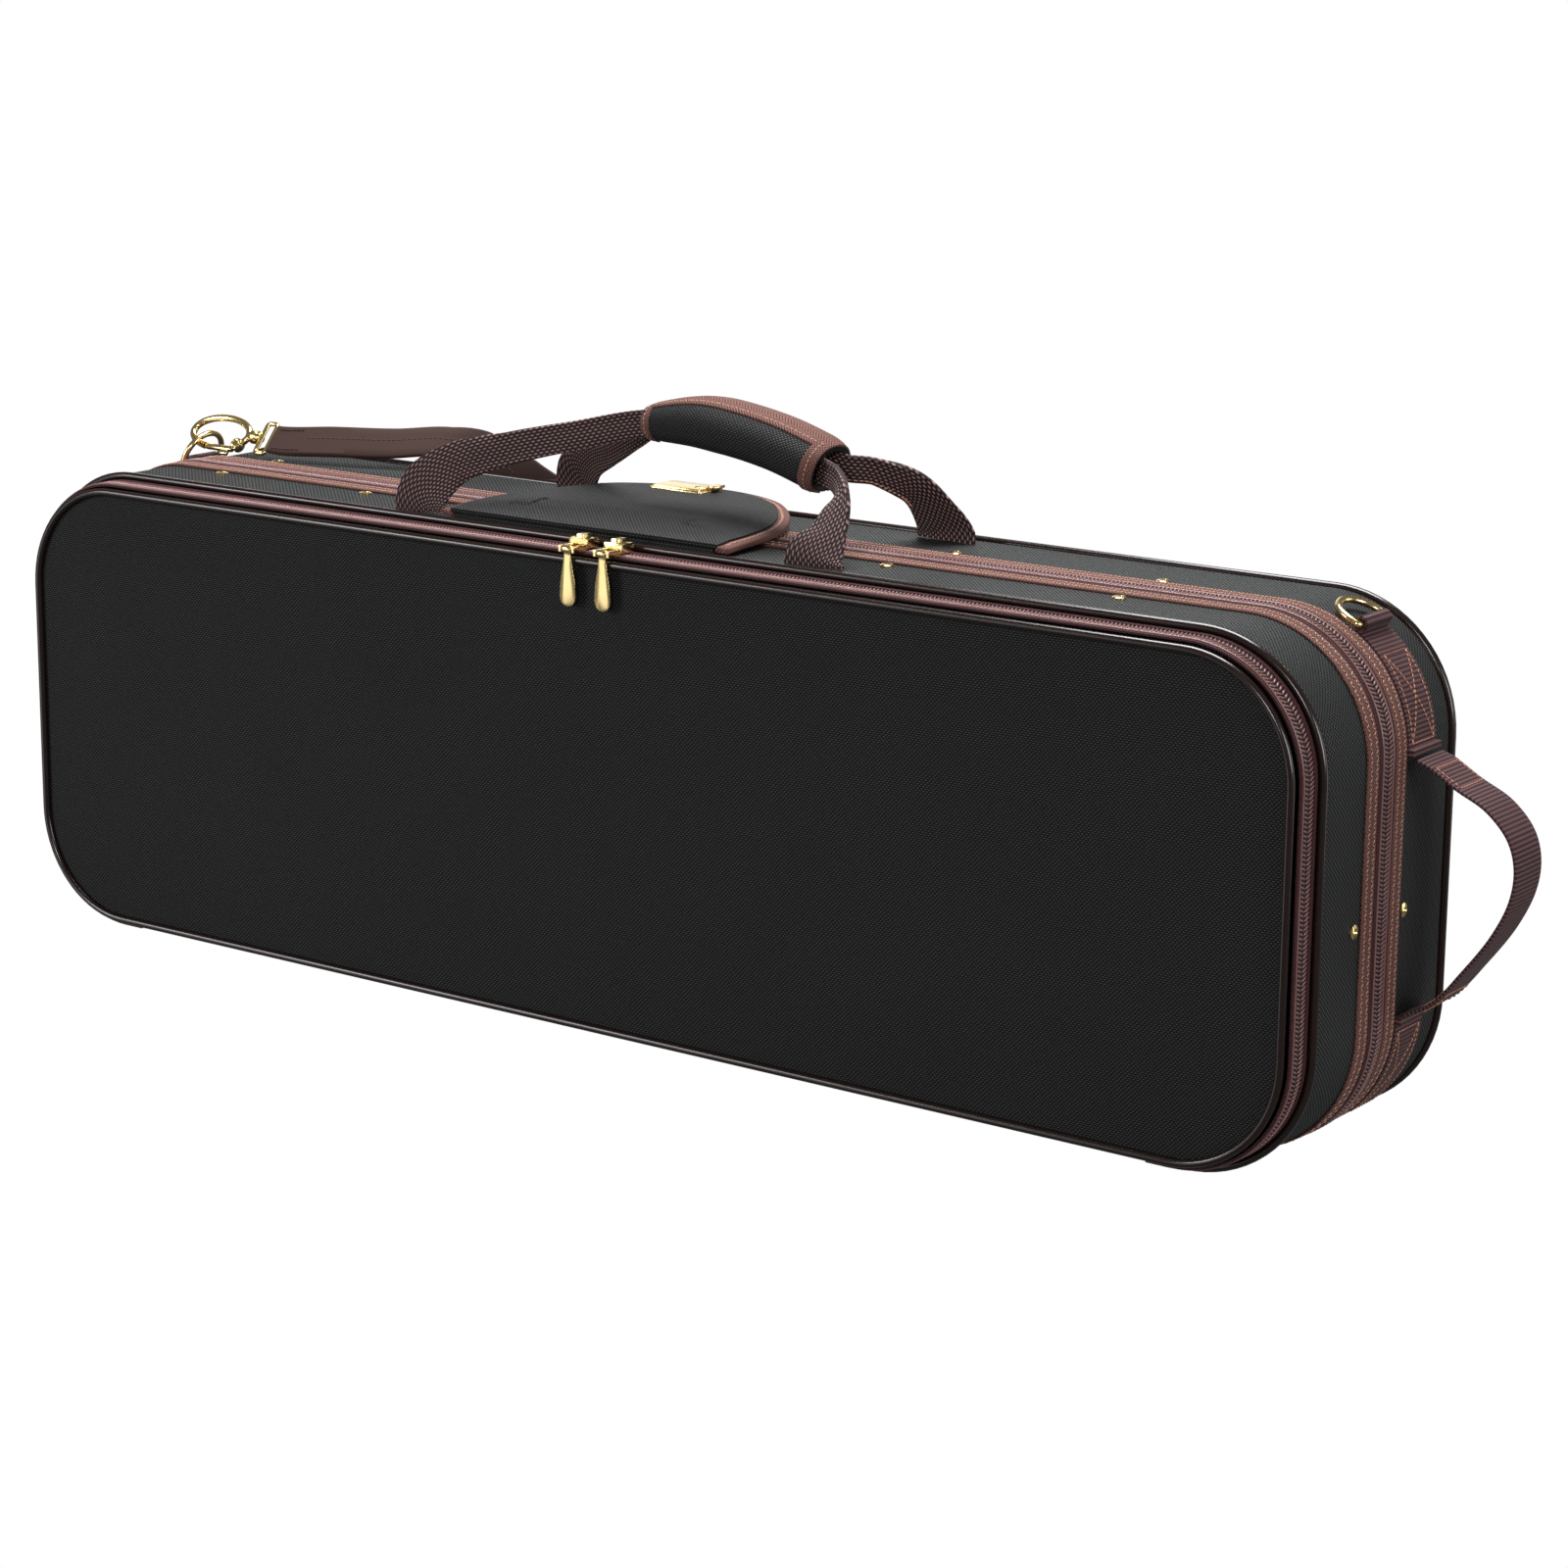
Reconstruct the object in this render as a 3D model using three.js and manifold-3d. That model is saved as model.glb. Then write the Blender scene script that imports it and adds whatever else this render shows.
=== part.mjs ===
// Oblong violin case standing on its long hinge side, closed.
// Millimetres, +Z up, +X along the case, -Y towards the front pocket.
// The origin is the middle of the underside of the body's hinge strip.

import * as THREE from "three";
import { mergeVertices } from "three/addons/utils/BufferGeometryUtils.js";
import Module from "manifold-3d";

const wasm = await Module();
wasm.setup();

// ---- driving dimensions ----

const LENGTH = 800.6; // shell, end to end
const HEIGHT = 254.8; // shell, hinge side to handle side
const CORNER = 64; // shell corner radius
const PROUD = 1.8; // how far pipings, bindings and zips stand out of the shell
const GAP = 0.3; // between pieces that touch
const SPLIT = -8; // y of the plane where lid and body meet
const MID_Z = PROUD + HEIGHT / 2;
const TOP_Z = PROUD + HEIGHT;
const CORNER_X = LENGTH / 2 - CORNER;
const CORNER_Z = TOP_Z - CORNER;

const LID_DEPTH = 58.5; // split to the lid's front piping
const BODY_DEPTH = 66.9; // split to the body's rear piping
const POCKET_DEPTH = 17.8; // lid piping to pocket piping
const POCKET_INSET = 7.1; // pocket outline inside the lid outline
const PIPE_R = 2.1;
const LID_WALL = 6;
const BODY_WALL = 8;
const HINGE_HALF = 324; // half the length of the fabric hinge
const ARC_STEPS = 4; // segments per 45 degrees of corner

const WEB = 1.8; // webbing thickness
const STRAP_Y = SPLIT + 33; // end strap and rings, middle of their width
const STRAP_WIDTH = 27;
const WIRE = 1.5; // D-ring wire radius

// ---- colours ----

const NYLON = [0x161616, 0.8, 0];
const WEBBING = [0x462d2d, 0.85, 0];
const WOVEN_EDGE = [0x8c645f, 0.85, 0];
const ZIP = [0x5f3c3e, 0.6, 0];
const GLOSSY_PIPE = [0x2d1e1c, 0.25, 0];
const GOLD = [0xd9b35a, 0.2, 1];
const PLUSH = [0x6b2a30, 0.95, 0];
const STRAP_CLOTH = [0x321916, 0.85, 0];

const material = ([color, roughness, metalness]) =>
  new THREE.MeshStandardMaterial({ color, roughness, metalness });

const violinCase = new THREE.Group();

function add(name, geometry, finish, parent = violinCase) {
  const mesh = new THREE.Mesh(geometry, material(finish));
  mesh.name = name;
  parent.add(mesh);
  return mesh;
}

// ---- solids ----

function toManifold(geometry) {
  const bare = geometry.clone();
  bare.deleteAttribute("normal");
  bare.deleteAttribute("uv");
  const merged = mergeVertices(bare, 1e-4);
  return new wasm.Manifold(new wasm.Mesh({
    numProp: 3,
    vertProperties: new Float32Array(merged.attributes.position.array),
    triVerts: new Uint32Array(merged.index.array),
  }));
}

function fromManifold(solid) {
  const { vertProperties, triVerts } = solid.getMesh();
  const geometry = new THREE.BufferGeometry();
  geometry.setAttribute("position", new THREE.BufferAttribute(vertProperties, 3));
  geometry.setIndex(new THREE.BufferAttribute(triVerts, 1));
  return geometry;
}

function join(...geometries) {
  return fromManifold(geometries.map(toManifold).reduce((a, b) => a.add(b)));
}

function cut(geometry, ...tools) {
  return fromManifold(tools.map(toManifold).reduce((a, b) => a.subtract(b), toManifold(geometry)));
}

// A box between two corners.
function box(x0, x1, y0, y1, z0, z1) {
  return new THREE.BoxGeometry(x1 - x0, y1 - y0, z1 - z0)
    .translate((x0 + x1) / 2, (y0 + y1) / 2, (z0 + z1) / 2);
}

// A shape drawn in X and Z, extruded from yFront to yBack. A bevel rounds both rims and
// swells the outline by its own size.
function slab(shape, yFront, yBack, bevel = 0) {
  const geometry = new THREE.ExtrudeGeometry(shape, {
    depth: yBack - yFront - 2 * bevel,
    curveSegments: ARC_STEPS,
    bevelEnabled: bevel > 0,
    bevelThickness: bevel,
    bevelSize: bevel,
    bevelSegments: 1,
  });
  return geometry.rotateX(Math.PI / 2).translate(0, yBack - bevel, 0);
}

// A shape drawn in X and Y, extruded upwards.
function plate(shape, zLow, zHigh) {
  return new THREE.ExtrudeGeometry(shape, {
    depth: zHigh - zLow, bevelEnabled: false, curveSegments: ARC_STEPS,
  }).translate(0, 0, zLow);
}

// ---- outlines round the case ----

// The case outline, moved outwards by offset (inwards when negative).
function outline(offset, Kind = THREE.Shape) {
  const x = LENGTH / 2 + offset;
  const z = HEIGHT / 2 + offset;
  const r = CORNER + offset;
  const path = new Kind();
  path.moveTo(x - r, MID_Z - z);
  path.absarc(x - r, MID_Z - z + r, r, -Math.PI / 2, 0);
  path.absarc(x - r, MID_Z + z - r, r, 0, Math.PI / 2);
  path.absarc(-x + r, MID_Z + z - r, r, Math.PI / 2, Math.PI);
  path.absarc(-x + r, MID_Z - z + r, r, Math.PI, 1.5 * Math.PI);
  path.closePath();
  return path;
}

// A closed band round the whole outline, between two offsets.
function band(inner, outer) {
  const shape = outline(outer);
  shape.holes.push(outline(inner, THREE.Path));
  return shape;
}

// A band that leaves the hinge side open between -HINGE_HALF and +HINGE_HALF.
function openBand(inner, outer) {
  const side = (offset) => {
    const points = outline(offset, THREE.Path).getPoints(ARC_STEPS);
    const low = MID_Z - HEIGHT / 2 - offset;
    const ring = points.slice(0, -1);
    return [new THREE.Vector2(HINGE_HALF, low), ...ring, new THREE.Vector2(-HINGE_HALF, low)];
  };
  return new THREE.Shape([...side(outer), ...side(inner).reverse()]);
}

// A piping: a closed bead with an eight-sided section.
function piping(offset, y) {
  const bevel = PIPE_R * (2 - Math.SQRT2);
  const flat = PIPE_R - bevel;
  return slab(band(offset - flat, offset + flat), y - PIPE_R, y + PIPE_R, bevel);
}

// ---- ribbons ----

// A flat band along a smooth path. Each stop is { at, face, width }: a point on the middle
// of the band, the direction that its face looks in, and its width there.
class Ribbon extends THREE.CatmullRomCurve3 {
  constructor(stops) {
    super(stops.map((s) => new THREE.Vector3(...s.at)), false, "centripetal");
    this.faces = new THREE.CatmullRomCurve3(
      stops.map((s) => new THREE.Vector3(...s.face)), false, "catmullrom", 0.5);
    this.widths = new THREE.CatmullRomCurve3(
      stops.map((s) => new THREE.Vector3(s.width, 0, 0)), false, "catmullrom", 0.5);
  }

  computeFrenetFrames(steps) {
    const frames = { tangents: [], normals: [], binormals: [] };
    for (let i = 0; i <= steps; i++) {
      const t = this.getUtoTmapping(i / steps);
      const tangent = this.getTangent(t).normalize();
      const side = tangent.clone().cross(this.faces.getPoint(t)).normalize();
      frames.tangents.push(tangent);
      frames.binormals.push(tangent.clone().cross(side));
      frames.normals.push(side.multiplyScalar(this.widths.getPoint(t).x));
    }
    return frames;
  }
}

// The ribbon's solid. spare makes it that much wider and thicker all round, as a cutter.
function ribbon(stops, steps, thickness = WEB, spare = 0) {
  const wider = stops.map((s) => ({ ...s, width: s.width + 2 * spare }));
  const half = thickness / 2 + spare;
  const section = new THREE.Shape([
    new THREE.Vector2(-0.5, -half), new THREE.Vector2(0.5, -half),
    new THREE.Vector2(0.5, half), new THREE.Vector2(-0.5, half),
  ]);
  return new THREE.ExtrudeGeometry(section, { steps, extrudePath: new Ribbon(wider) });
}

// ---- shells ----

const lidFront = SPLIT - LID_DEPTH + PIPE_R + GAP;
const bodyBack = SPLIT + BODY_DEPTH - PIPE_R - GAP;
const lidRim = SPLIT - 0.5;
const bodyRim = SPLIT + 0.5;
const lidFloor = lidFront + LID_WALL; // inside face of the lid's front panel
const bodyFloor = bodyBack - LID_WALL; // inside face of the body's rear panel

function shells() {
  const lidHollow = slab(outline(-LID_WALL), lidFloor, SPLIT + 10);
  add("lid_shell", cut(slab(outline(0), lidFront, lidRim), lidHollow), NYLON);
  const bodyHollow = slab(outline(-BODY_WALL), SPLIT - 10, bodyFloor);
  add("body_shell", cut(slab(outline(0), bodyRim, bodyBack), bodyHollow), NYLON);
  const beadOffset = PROUD - PIPE_R;
  add("lid_piping", piping(beadOffset, SPLIT - LID_DEPTH), GLOSSY_PIPE);
  add("body_piping", piping(beadOffset, SPLIT + BODY_DEPTH), GLOSSY_PIPE);
}

// ---- bindings, zip tapes and hinge strips along the split ----

const ZIP_HALF = 7.8; // zip tape, split to its outer edge
const BINDING_EDGE = 19; // split to the bindings' outer edge
const HINGE_WIDTH = 16; // each half of the fabric hinge

function splitTrim() {
  const near = 0.15; // each side of the split plane
  const tape = openBand(GAP, PROUD - 0.1);
  const woven = openBand(GAP, PROUD - 0.4);
  add("lid_zip_tape", slab(tape, SPLIT - ZIP_HALF, SPLIT - near), ZIP);
  add("body_zip_tape", slab(tape, SPLIT + near, SPLIT + ZIP_HALF), ZIP);
  add("lid_binding", slab(woven, SPLIT - BINDING_EDGE, SPLIT - ZIP_HALF - GAP), WOVEN_EDGE);
  add("body_binding", slab(woven, SPLIT + ZIP_HALF + GAP, SPLIT + BINDING_EDGE), WOVEN_EDGE);
  const end = HINGE_HALF - GAP;
  const stripTop = PROUD - GAP;
  add("lid_hinge_strip", box(-end, end, SPLIT - HINGE_WIDTH, SPLIT - near, 0, stripTop), NYLON);
  add("body_hinge_strip", box(-end, end, SPLIT + near, SPLIT + HINGE_WIDTH, 0, stripTop), NYLON);
}

// ---- front pocket ----

const POCKET_WALL = 3;
const pocketFront = SPLIT - LID_DEPTH - POCKET_DEPTH; // plane of the pocket piping
const panelFront = pocketFront + PIPE_R + GAP;
const panelBack = panelFront + POCKET_WALL;
const zipSeam = pocketFront + 9.4; // where the pocket's two zip tapes meet
const zipBack = SPLIT - LID_DEPTH - PIPE_R - GAP;

function pocket() {
  const edge = -POCKET_INSET; // outline offset of the pocket panel
  add("pocket_panel", slab(outline(edge + 1), panelFront, panelBack), NYLON);
  add("pocket_piping", piping(edge, pocketFront), GLOSSY_PIPE);
  const tapeThick = 2.5;
  const coverTape = openBand(edge + 1 + GAP, edge + 1 + GAP + tapeThick);
  const lidTape = openBand(edge + 3, edge + 3 + tapeThick);
  add("pocket_zip_tape_cover", slab(coverTape, panelFront + 1, zipSeam - 0.15), ZIP);
  add("pocket_zip_tape_lid", slab(lidTape, zipSeam + 0.15, zipBack), ZIP);
  const end = HINGE_HALF - 4;
  const low = 3.2;
  add("pocket_hinge_strip", box(-end, end, zipSeam - 1, zipBack, low, low + 1.6), NYLON);
}

// ---- zip sliders and pulls ----

const SLIDER_LONG = 12;
const PIN_R = 0.9;
const POCKET_SLIDERS = [-13, 9]; // x of the pocket's two sliders
const MAIN_SLIDERS = [-10, 10];
const pullPinY = pocketFront - 3.4;
const pullPinZ = TOP_Z - 1;
const mainPinY = SPLIT + 9.4;
const mainPinZ = TOP_Z + PROUD + 2.2;

// A slider body with two arms that reach over the piping and hold the pull's pin.
function pocketSlider(x) {
  const low = TOP_Z - POCKET_INSET + 3 + 2.5 + GAP;
  const high = low + 4.4;
  const back = zipBack - 1.7;
  const front = zipSeam - 4.4;
  const body = box(x - SLIDER_LONG / 2, x + SLIDER_LONG / 2, front, back, low, high);
  const arm = (side) => box(x + side * 4.2 - 0.8, x + side * 4.2 + 0.8,
    pullPinY - 1.6, front + 1, pullPinZ - 1.6, pullPinZ + 1.6);
  const pin = new THREE.CylinderGeometry(PIN_R, PIN_R, 8.4, 8).rotateZ(Math.PI / 2)
    .translate(x, pullPinY, pullPinZ);
  const bridge = box(x - 2, x + 2, front + 1, back - 1, high - 0.5, high + 2);
  return join(body, arm(-1), arm(1), pin, bridge);
}

// A drop-shaped tab, drawn from its pin at the origin along -Z.
function dropShape(long, wide) {
  const r = wide / 2;
  const neck = 1.9;
  const shape = new THREE.Shape();
  shape.moveTo(neck, 1.6);
  shape.bezierCurveTo(neck, -0.3 * long, r, -0.45 * long, r, r - long);
  shape.absarc(0, r - long, r, 0, -Math.PI, true);
  shape.bezierCurveTo(-r, -0.45 * long, -neck, -0.3 * long, -neck, 1.6);
  shape.closePath();
  return shape;
}

// The tab's plate with a barrel that turns on the pin.
function pull(x, y, z, long, wide) {
  const tab = slab(dropShape(long, wide), -0.7, 0.7);
  const barrel = new THREE.CylinderGeometry(2, 2, 5.6, 12).rotateZ(Math.PI / 2);
  const bore = new THREE.CylinderGeometry(PIN_R + 0.35, PIN_R + 0.35, 12, 12).rotateZ(Math.PI / 2);
  return cut(join(tab, barrel), bore).translate(x, y, z);
}

// The main zip's slider is low, because the flap lies over it.
function mainSlider(x) {
  const low = TOP_Z + PROUD;
  const y = mainPinY;
  const body = box(x - SLIDER_LONG / 2, x + SLIDER_LONG / 2, SPLIT - 4.5, SPLIT + 5.4, low, low + 2.6);
  const arm = (side) => box(x + side * 4.2 - 0.8, x + side * 4.2 + 0.8,
    SPLIT + 4, y + 1.6, low, low + 3.2);
  const pin = new THREE.CylinderGeometry(PIN_R, PIN_R, 8.4, 8).rotateZ(Math.PI / 2)
    .translate(x, y, mainPinZ);
  return join(body, arm(-1), arm(1), pin);
}

function zips() {
  const sides = ["left", "right"];
  sides.forEach((side, i) => {
    add(`pocket_slider_${side}`, pocketSlider(POCKET_SLIDERS[i]), GOLD);
    add(`pocket_pull_${side}`, pull(POCKET_SLIDERS[i], pullPinY, pullPinZ, 29, 10), GOLD);
    add(`main_slider_${side}`, mainSlider(MAIN_SLIDERS[i]), GOLD);
    const flat = pull(0, 0, 0, 20, 9).rotateX(Math.PI / 2);
    flat.translate(MAIN_SLIDERS[i], mainPinY, mainPinZ);
    add(`main_pull_${side}`, flat, GOLD);
  });
}

// ---- flap over the split, with its clasp ----

const FLAP_X = -25; // middle of the flap
const FLAP_HALF = 92;
const FLAP_LOW = TOP_Z + PROUD + 4.6;
const FLAP_THICK = 2.4;
const flapFront = SPLIT - LID_DEPTH + PIPE_R + 1.4;
const flapRound = SPLIT - 35; // where the straight sides turn into the round end
const FLAP_ROUND_DEEP = 97;
const FLAP_EDGE = 8; // width of the woven edge

// A D in X and Y. inset moves its round edge inwards.
function flapShape(inset) {
  const half = FLAP_HALF - inset;
  const deep = FLAP_ROUND_DEEP - inset;
  const shape = new THREE.Shape();
  shape.moveTo(FLAP_X - half, flapFront);
  shape.lineTo(FLAP_X + half, flapFront);
  shape.absellipse(FLAP_X, flapRound, half, deep, 0, Math.PI);
  shape.closePath();
  return shape;
}

function flap() {
  const high = FLAP_LOW + FLAP_THICK;
  const inset = FLAP_EDGE + GAP;
  const lip = box(FLAP_X - FLAP_HALF + inset, FLAP_X + FLAP_HALF - inset,
    flapFront, flapFront + 2.4, TOP_Z + GAP, high);
  add("flap_panel", join(plate(flapShape(inset), FLAP_LOW, high), lip), NYLON);
  const edge = cut(plate(flapShape(0), FLAP_LOW, high),
    plate(flapShape(FLAP_EDGE), FLAP_LOW - 5, high + 5).translate(0, -0.01, 0),
    box(FLAP_X - FLAP_HALF + FLAP_EDGE, FLAP_X + FLAP_HALF - FLAP_EDGE,
      flapFront - 5, flapFront + 5, FLAP_LOW - 5, high + 5));
  add("flap_binding", edge, WOVEN_EDGE);
}

const CLASP_X = -36;
const CLASP_Y = SPLIT + 47;

function clasp() {
  const low = FLAP_LOW + FLAP_THICK + GAP;
  const shape = new THREE.Shape();
  const long = 17;
  const wide = 10.5;
  shape.moveTo(-long, -wide).lineTo(long, -wide).lineTo(long, wide).lineTo(-long, wide);
  shape.closePath();
  const body = plate(shape, 0, 2.6).translate(CLASP_X, CLASP_Y, low);
  const slot = box(CLASP_X + 2, CLASP_X + 30, CLASP_Y - 3.2, CLASP_Y + 3.2, low + 1.2, low + 10);
  add("clasp_plate", cut(body, slot), GOLD);
  const slide = join(
    box(CLASP_X + 8, CLASP_X + 20, CLASP_Y - 2.9, CLASP_Y + 2.9, low + 1.2 + GAP, low + 3.2),
    box(CLASP_X + 17.5, CLASP_X + 22, CLASP_Y - 4.5, CLASP_Y + 4.5, low + 2.6 + GAP, low + 4.4));
  add("clasp_slide", slide, GOLD);
  const post = new THREE.CylinderGeometry(3, 4.5, 3.4, 16).rotateX(Math.PI / 2)
    .translate(CLASP_X, CLASP_Y, TOP_Z + GAP + 1.5 + 1.7);
  const foot = box(CLASP_X - 12, CLASP_X + 12, CLASP_Y - 7, CLASP_Y + 7,
    TOP_Z + GAP, TOP_Z + GAP + 1.6);
  add("clasp_post", join(post, foot), GOLD);
}

// ---- carrying handle: two webbing loops, each with half of the grip ----

const GRIP_HALF_DEEP = 17;
const GRIP_HALF_HIGH = 13.5;
const gripLine = [[-22, 309], [15, 311.5], [56, 306], [90, 296]]; // x and z of its middle

// Stops of one loop. sign is -1 for the lid's loop and +1 for the body's.
function loopStops(sign) {
  const face = [0, -1, 0];
  const inGrip = gripLine.map(([x, z]) => ({ at: [x, SPLIT + sign * 8.5, z], face, width: 14 }));
  const foot = (x, y, z, width) => ({ at: [x, SPLIT + sign * y, z], face, width });
  const z0 = TOP_Z + GAP;
  const sewn = (x, y, width) => [foot(x, y, z0, width), foot(x, y, z0 + 4, width)];
  if (sign < 0) {
    return [
      ...sewn(-138, 48, 32), foot(-134, 46.5, 270, 31), foot(-119, 40, 283, 22),
      foot(-92, 30, 292, 17), foot(-56, 18, 301, 15), ...inGrip,
      foot(104, 15, 293.5, 13), foot(115, 28, 288, 12), foot(117, 40, 274, 20),
      ...sewn(114, 48, 35).reverse(),
    ];
  }
  return [
    ...sewn(-111, 52, 33), foot(-110, 50, 267, 31), foot(-97, 42, 278, 25),
    foot(-72, 29, 287, 18), foot(-46, 16, 298, 15), ...inGrip,
    foot(103, 20, 293.5, 14), foot(116, 36, 284, 20), foot(122, 47, 270, 28),
    ...sewn(124, 52, 35).reverse(),
  ];
}

// Half of an oval sleeve along the grip line, on one side of the split plane.
function gripHalf(sign) {
  const middle = gripLine.map(([x, z]) => ({ at: [x, SPLIT, z], face: [0, 0, 1], width: 1 }));
  const section = new THREE.Shape();
  const near = 0.15;
  const steps = 10;
  const points = [];
  for (let i = 0; i <= steps; i++) {
    const a = -Math.PI / 2 + (Math.PI * i) / steps;
    points.push([near + (GRIP_HALF_DEEP - near) * Math.cos(a), GRIP_HALF_HIGH * Math.sin(a)]);
  }
  // the ribbon's side is tangent x up = -Y, so the section's first axis runs towards -Y
  const flipped = sign < 0 ? points : points.map(([y, z]) => [-y, z]).reverse();
  section.setFromPoints(flipped.map(([y, z]) => new THREE.Vector2(y, z)));
  return new THREE.ExtrudeGeometry(section, { steps: 16, extrudePath: new Ribbon(middle) });
}

function handle() {
  const steps = 64;
  [[-1, "front"], [1, "rear"]].forEach(([sign, side]) => {
    const stops = loopStops(sign);
    add(`${side}_webbing`, ribbon(stops, steps), WEBBING);
    add(`grip_${side}`, cut(gripHalf(sign), ribbon(stops, steps, WEB, GAP)), NYLON);
  });
}

// ---- strap rings on the corners ----

const TAB_LOW_R = CORNER + GAP;
const TAB_HIGH_R = TAB_LOW_R + 1.5;
const LOOP_R = CORNER + 4.6; // corner centre to the ring's bar
const RING_HALF = 14.5; // half the bar's length, to the wire's middle
const RING_LEG = 3.5;

const onCorner = (angle, r, up = 1) =>
  [CORNER_X + r * Math.cos(angle), MID_Z + up * (CORNER_Z - MID_Z + r * Math.sin(angle))];

// A band of webbing round a right-hand corner, between two angles up from the end face.
function cornerBand(from, to) {
  const shape = new THREE.Shape();
  shape.absarc(CORNER_X, CORNER_Z, TAB_HIGH_R, from, to);
  shape.absarc(CORNER_X, CORNER_Z, TAB_LOW_R, to, from, true);
  shape.closePath();
  return slab(shape, STRAP_Y - STRAP_WIDTH / 2, STRAP_Y + STRAP_WIDTH / 2);
}

// The webbing loop that holds a ring's bar at an angle round the corner.
function barLoop(angle, width) {
  const [x, z] = onCorner(angle, LOOP_R);
  const shape = new THREE.Shape().absarc(x, z, 3.9, 0, 2 * Math.PI);
  shape.holes.push(new THREE.Path().absarc(x, z, 2.2, 0, 2 * Math.PI, true));
  return slab(shape, STRAP_Y - width / 2, STRAP_Y + width / 2);
}

// A D-ring: its bar along Y through the origin, its round end towards +X.
function dRing() {
  const bevel = WIRE * (2 - Math.SQRT2);
  const flat = WIRE - bevel;
  const ring = (w, Kind) => {
    const path = new Kind();
    path.moveTo(-w, RING_HALF + w);
    path.lineTo(-w, -RING_HALF - w);
    path.lineTo(RING_LEG, -RING_HALF - w);
    path.absarc(RING_LEG, 0, RING_HALF + w, -Math.PI / 2, Math.PI / 2);
    path.closePath();
    return path;
  };
  const shape = ring(flat, THREE.Shape);
  shape.holes.push(ring(-flat, THREE.Path));
  return new THREE.ExtrudeGeometry(shape, {
    depth: 2 * flat, curveSegments: 5, bevelThickness: bevel, bevelSize: bevel, bevelSegments: 1,
  }).translate(0, 0, -flat);
}

const LOOP_ANGLE = THREE.MathUtils.degToRad(57);
const RING_REST_RIGHT = 155; // degrees up from +X
const RING_REST_LEFT = 65;
const ringRight = onCorner(LOOP_ANGLE, LOOP_R);
const ringLeft = [-ringRight[0], ringRight[1]];

function cornerRings() {
  const upper = join(cornerBand(0, LOOP_ANGLE), barLoop(LOOP_ANGLE, 24),
    box(LENGTH / 2 + GAP, LENGTH / 2 + 4.4, STRAP_Y - 14, STRAP_Y + 14, CORNER_Z - 1, CORNER_Z + 2.5));
  add("end_tab_upper", upper, WEBBING);
  const low = 2 * MID_Z - CORNER_Z;
  const turned = cornerBand(0, LOOP_ANGLE).rotateX(Math.PI).translate(0, 2 * STRAP_Y, 2 * MID_Z);
  const lower = join(turned,
    box(LENGTH / 2 + GAP, LENGTH / 2 + 4.4, STRAP_Y - 14, STRAP_Y + 14, low - 2.5, low + 1));
  add("end_tab_lower", lower, WEBBING);
  const left = join(cornerBand(LOOP_ANGLE - 0.6, LOOP_ANGLE), barLoop(LOOP_ANGLE, 24));
  add("ring_tab_left", left.rotateZ(Math.PI).translate(0, 2 * STRAP_Y, 0), WEBBING);
  const place = (name, [x, z], degrees) => {
    const ring = add(name, dRing(), GOLD);
    ring.position.set(x, STRAP_Y, z);
    ring.rotation.y = THREE.MathUtils.degToRad(-degrees);
  };
  place("d_ring_right", ringRight, RING_REST_RIGHT);
  place("d_ring_left", ringLeft, RING_REST_LEFT);
}

function endStrap() {
  const x0 = LENGTH / 2 + 5.6;
  const inside = CORNER_Z - 2.6; // the ends lie just inside the tabs' noses
  const line = [
    [x0, inside], [411, 188.4], [426, 180], [442, 172], [453.5, 160], [457.5, 147],
    [456, 132], [448, 114], [434, 94], [419, 76], [x0, 2 * MID_Z - inside],
  ];
  const stops = line.map(([x, z], i) => {
    const before = line[Math.max(i - 1, 0)];
    const after = line[Math.min(i + 1, line.length - 1)];
    const face = [before[1] - after[1], 0, after[0] - before[0]];
    return { at: [x, STRAP_Y, z], face, width: STRAP_WIDTH };
  });
  add("end_strap", ribbon(stops, 40), WEBBING);
}

// ---- shoulder strap ----

const HOOK_HALF_LONG = 21;
const HOOK_HALF_WIDE = 10;
const HOOK_WIRE = 2;
const hookAt = [-356.5, STRAP_Y, 267.5];
const HOOK_LEAN = 40; // degrees that the hook's flat side leans from vertical
const rearY = SPLIT + BODY_DEPTH + PIPE_R;
const rearHookEnd = [318, 40]; // x and z of the rear ring's bar
const STRAP_THICK = 2.6;
const REAR_HOOK_LEAN = 42; // degrees that the rear hook's flat side leans off the panel
const REAR_OUT = 4.2; // middle of the rear ring and hook, out from the rear piping

// A snap hook in its own plane: an oval with its long side on X and an opening low on Y,
// a swivel barrel and an eye for the strap towards +X.
function snapHook() {
  const bevel = HOOK_WIRE * (2 - Math.SQRT2);
  const flat = HOOK_WIRE - bevel;
  const oval = (w, Kind) => new Kind()
    .absellipse(0, 0, HOOK_HALF_LONG + w, HOOK_HALF_WIDE + w, 0, 2 * Math.PI);
  const shape = oval(flat, THREE.Shape);
  shape.holes.push(oval(-flat, THREE.Path));
  const ring = new THREE.ExtrudeGeometry(shape, {
    depth: 2 * flat, curveSegments: 12, bevelThickness: bevel, bevelSize: bevel, bevelSegments: 1,
  }).translate(0, 0, -flat);
  const mouth = new THREE.BoxGeometry(22, 9, 12).translate(4, -HOOK_HALF_WIDE - 0.6, 0);
  const barrel = new THREE.CylinderGeometry(3, 3.6, 9, 12).rotateZ(Math.PI / 2)
    .translate(HOOK_HALF_LONG + 5, 0, 0);
  const frame = new THREE.BoxGeometry(10, 22, 3).translate(HOOK_HALF_LONG + 13.5, 0, 0);
  const window = new THREE.BoxGeometry(5, 18, 9).translate(HOOK_HALF_LONG + 14, 0, 0);
  return join(cut(ring, mouth), barrel, cut(frame, window));
}

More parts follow.
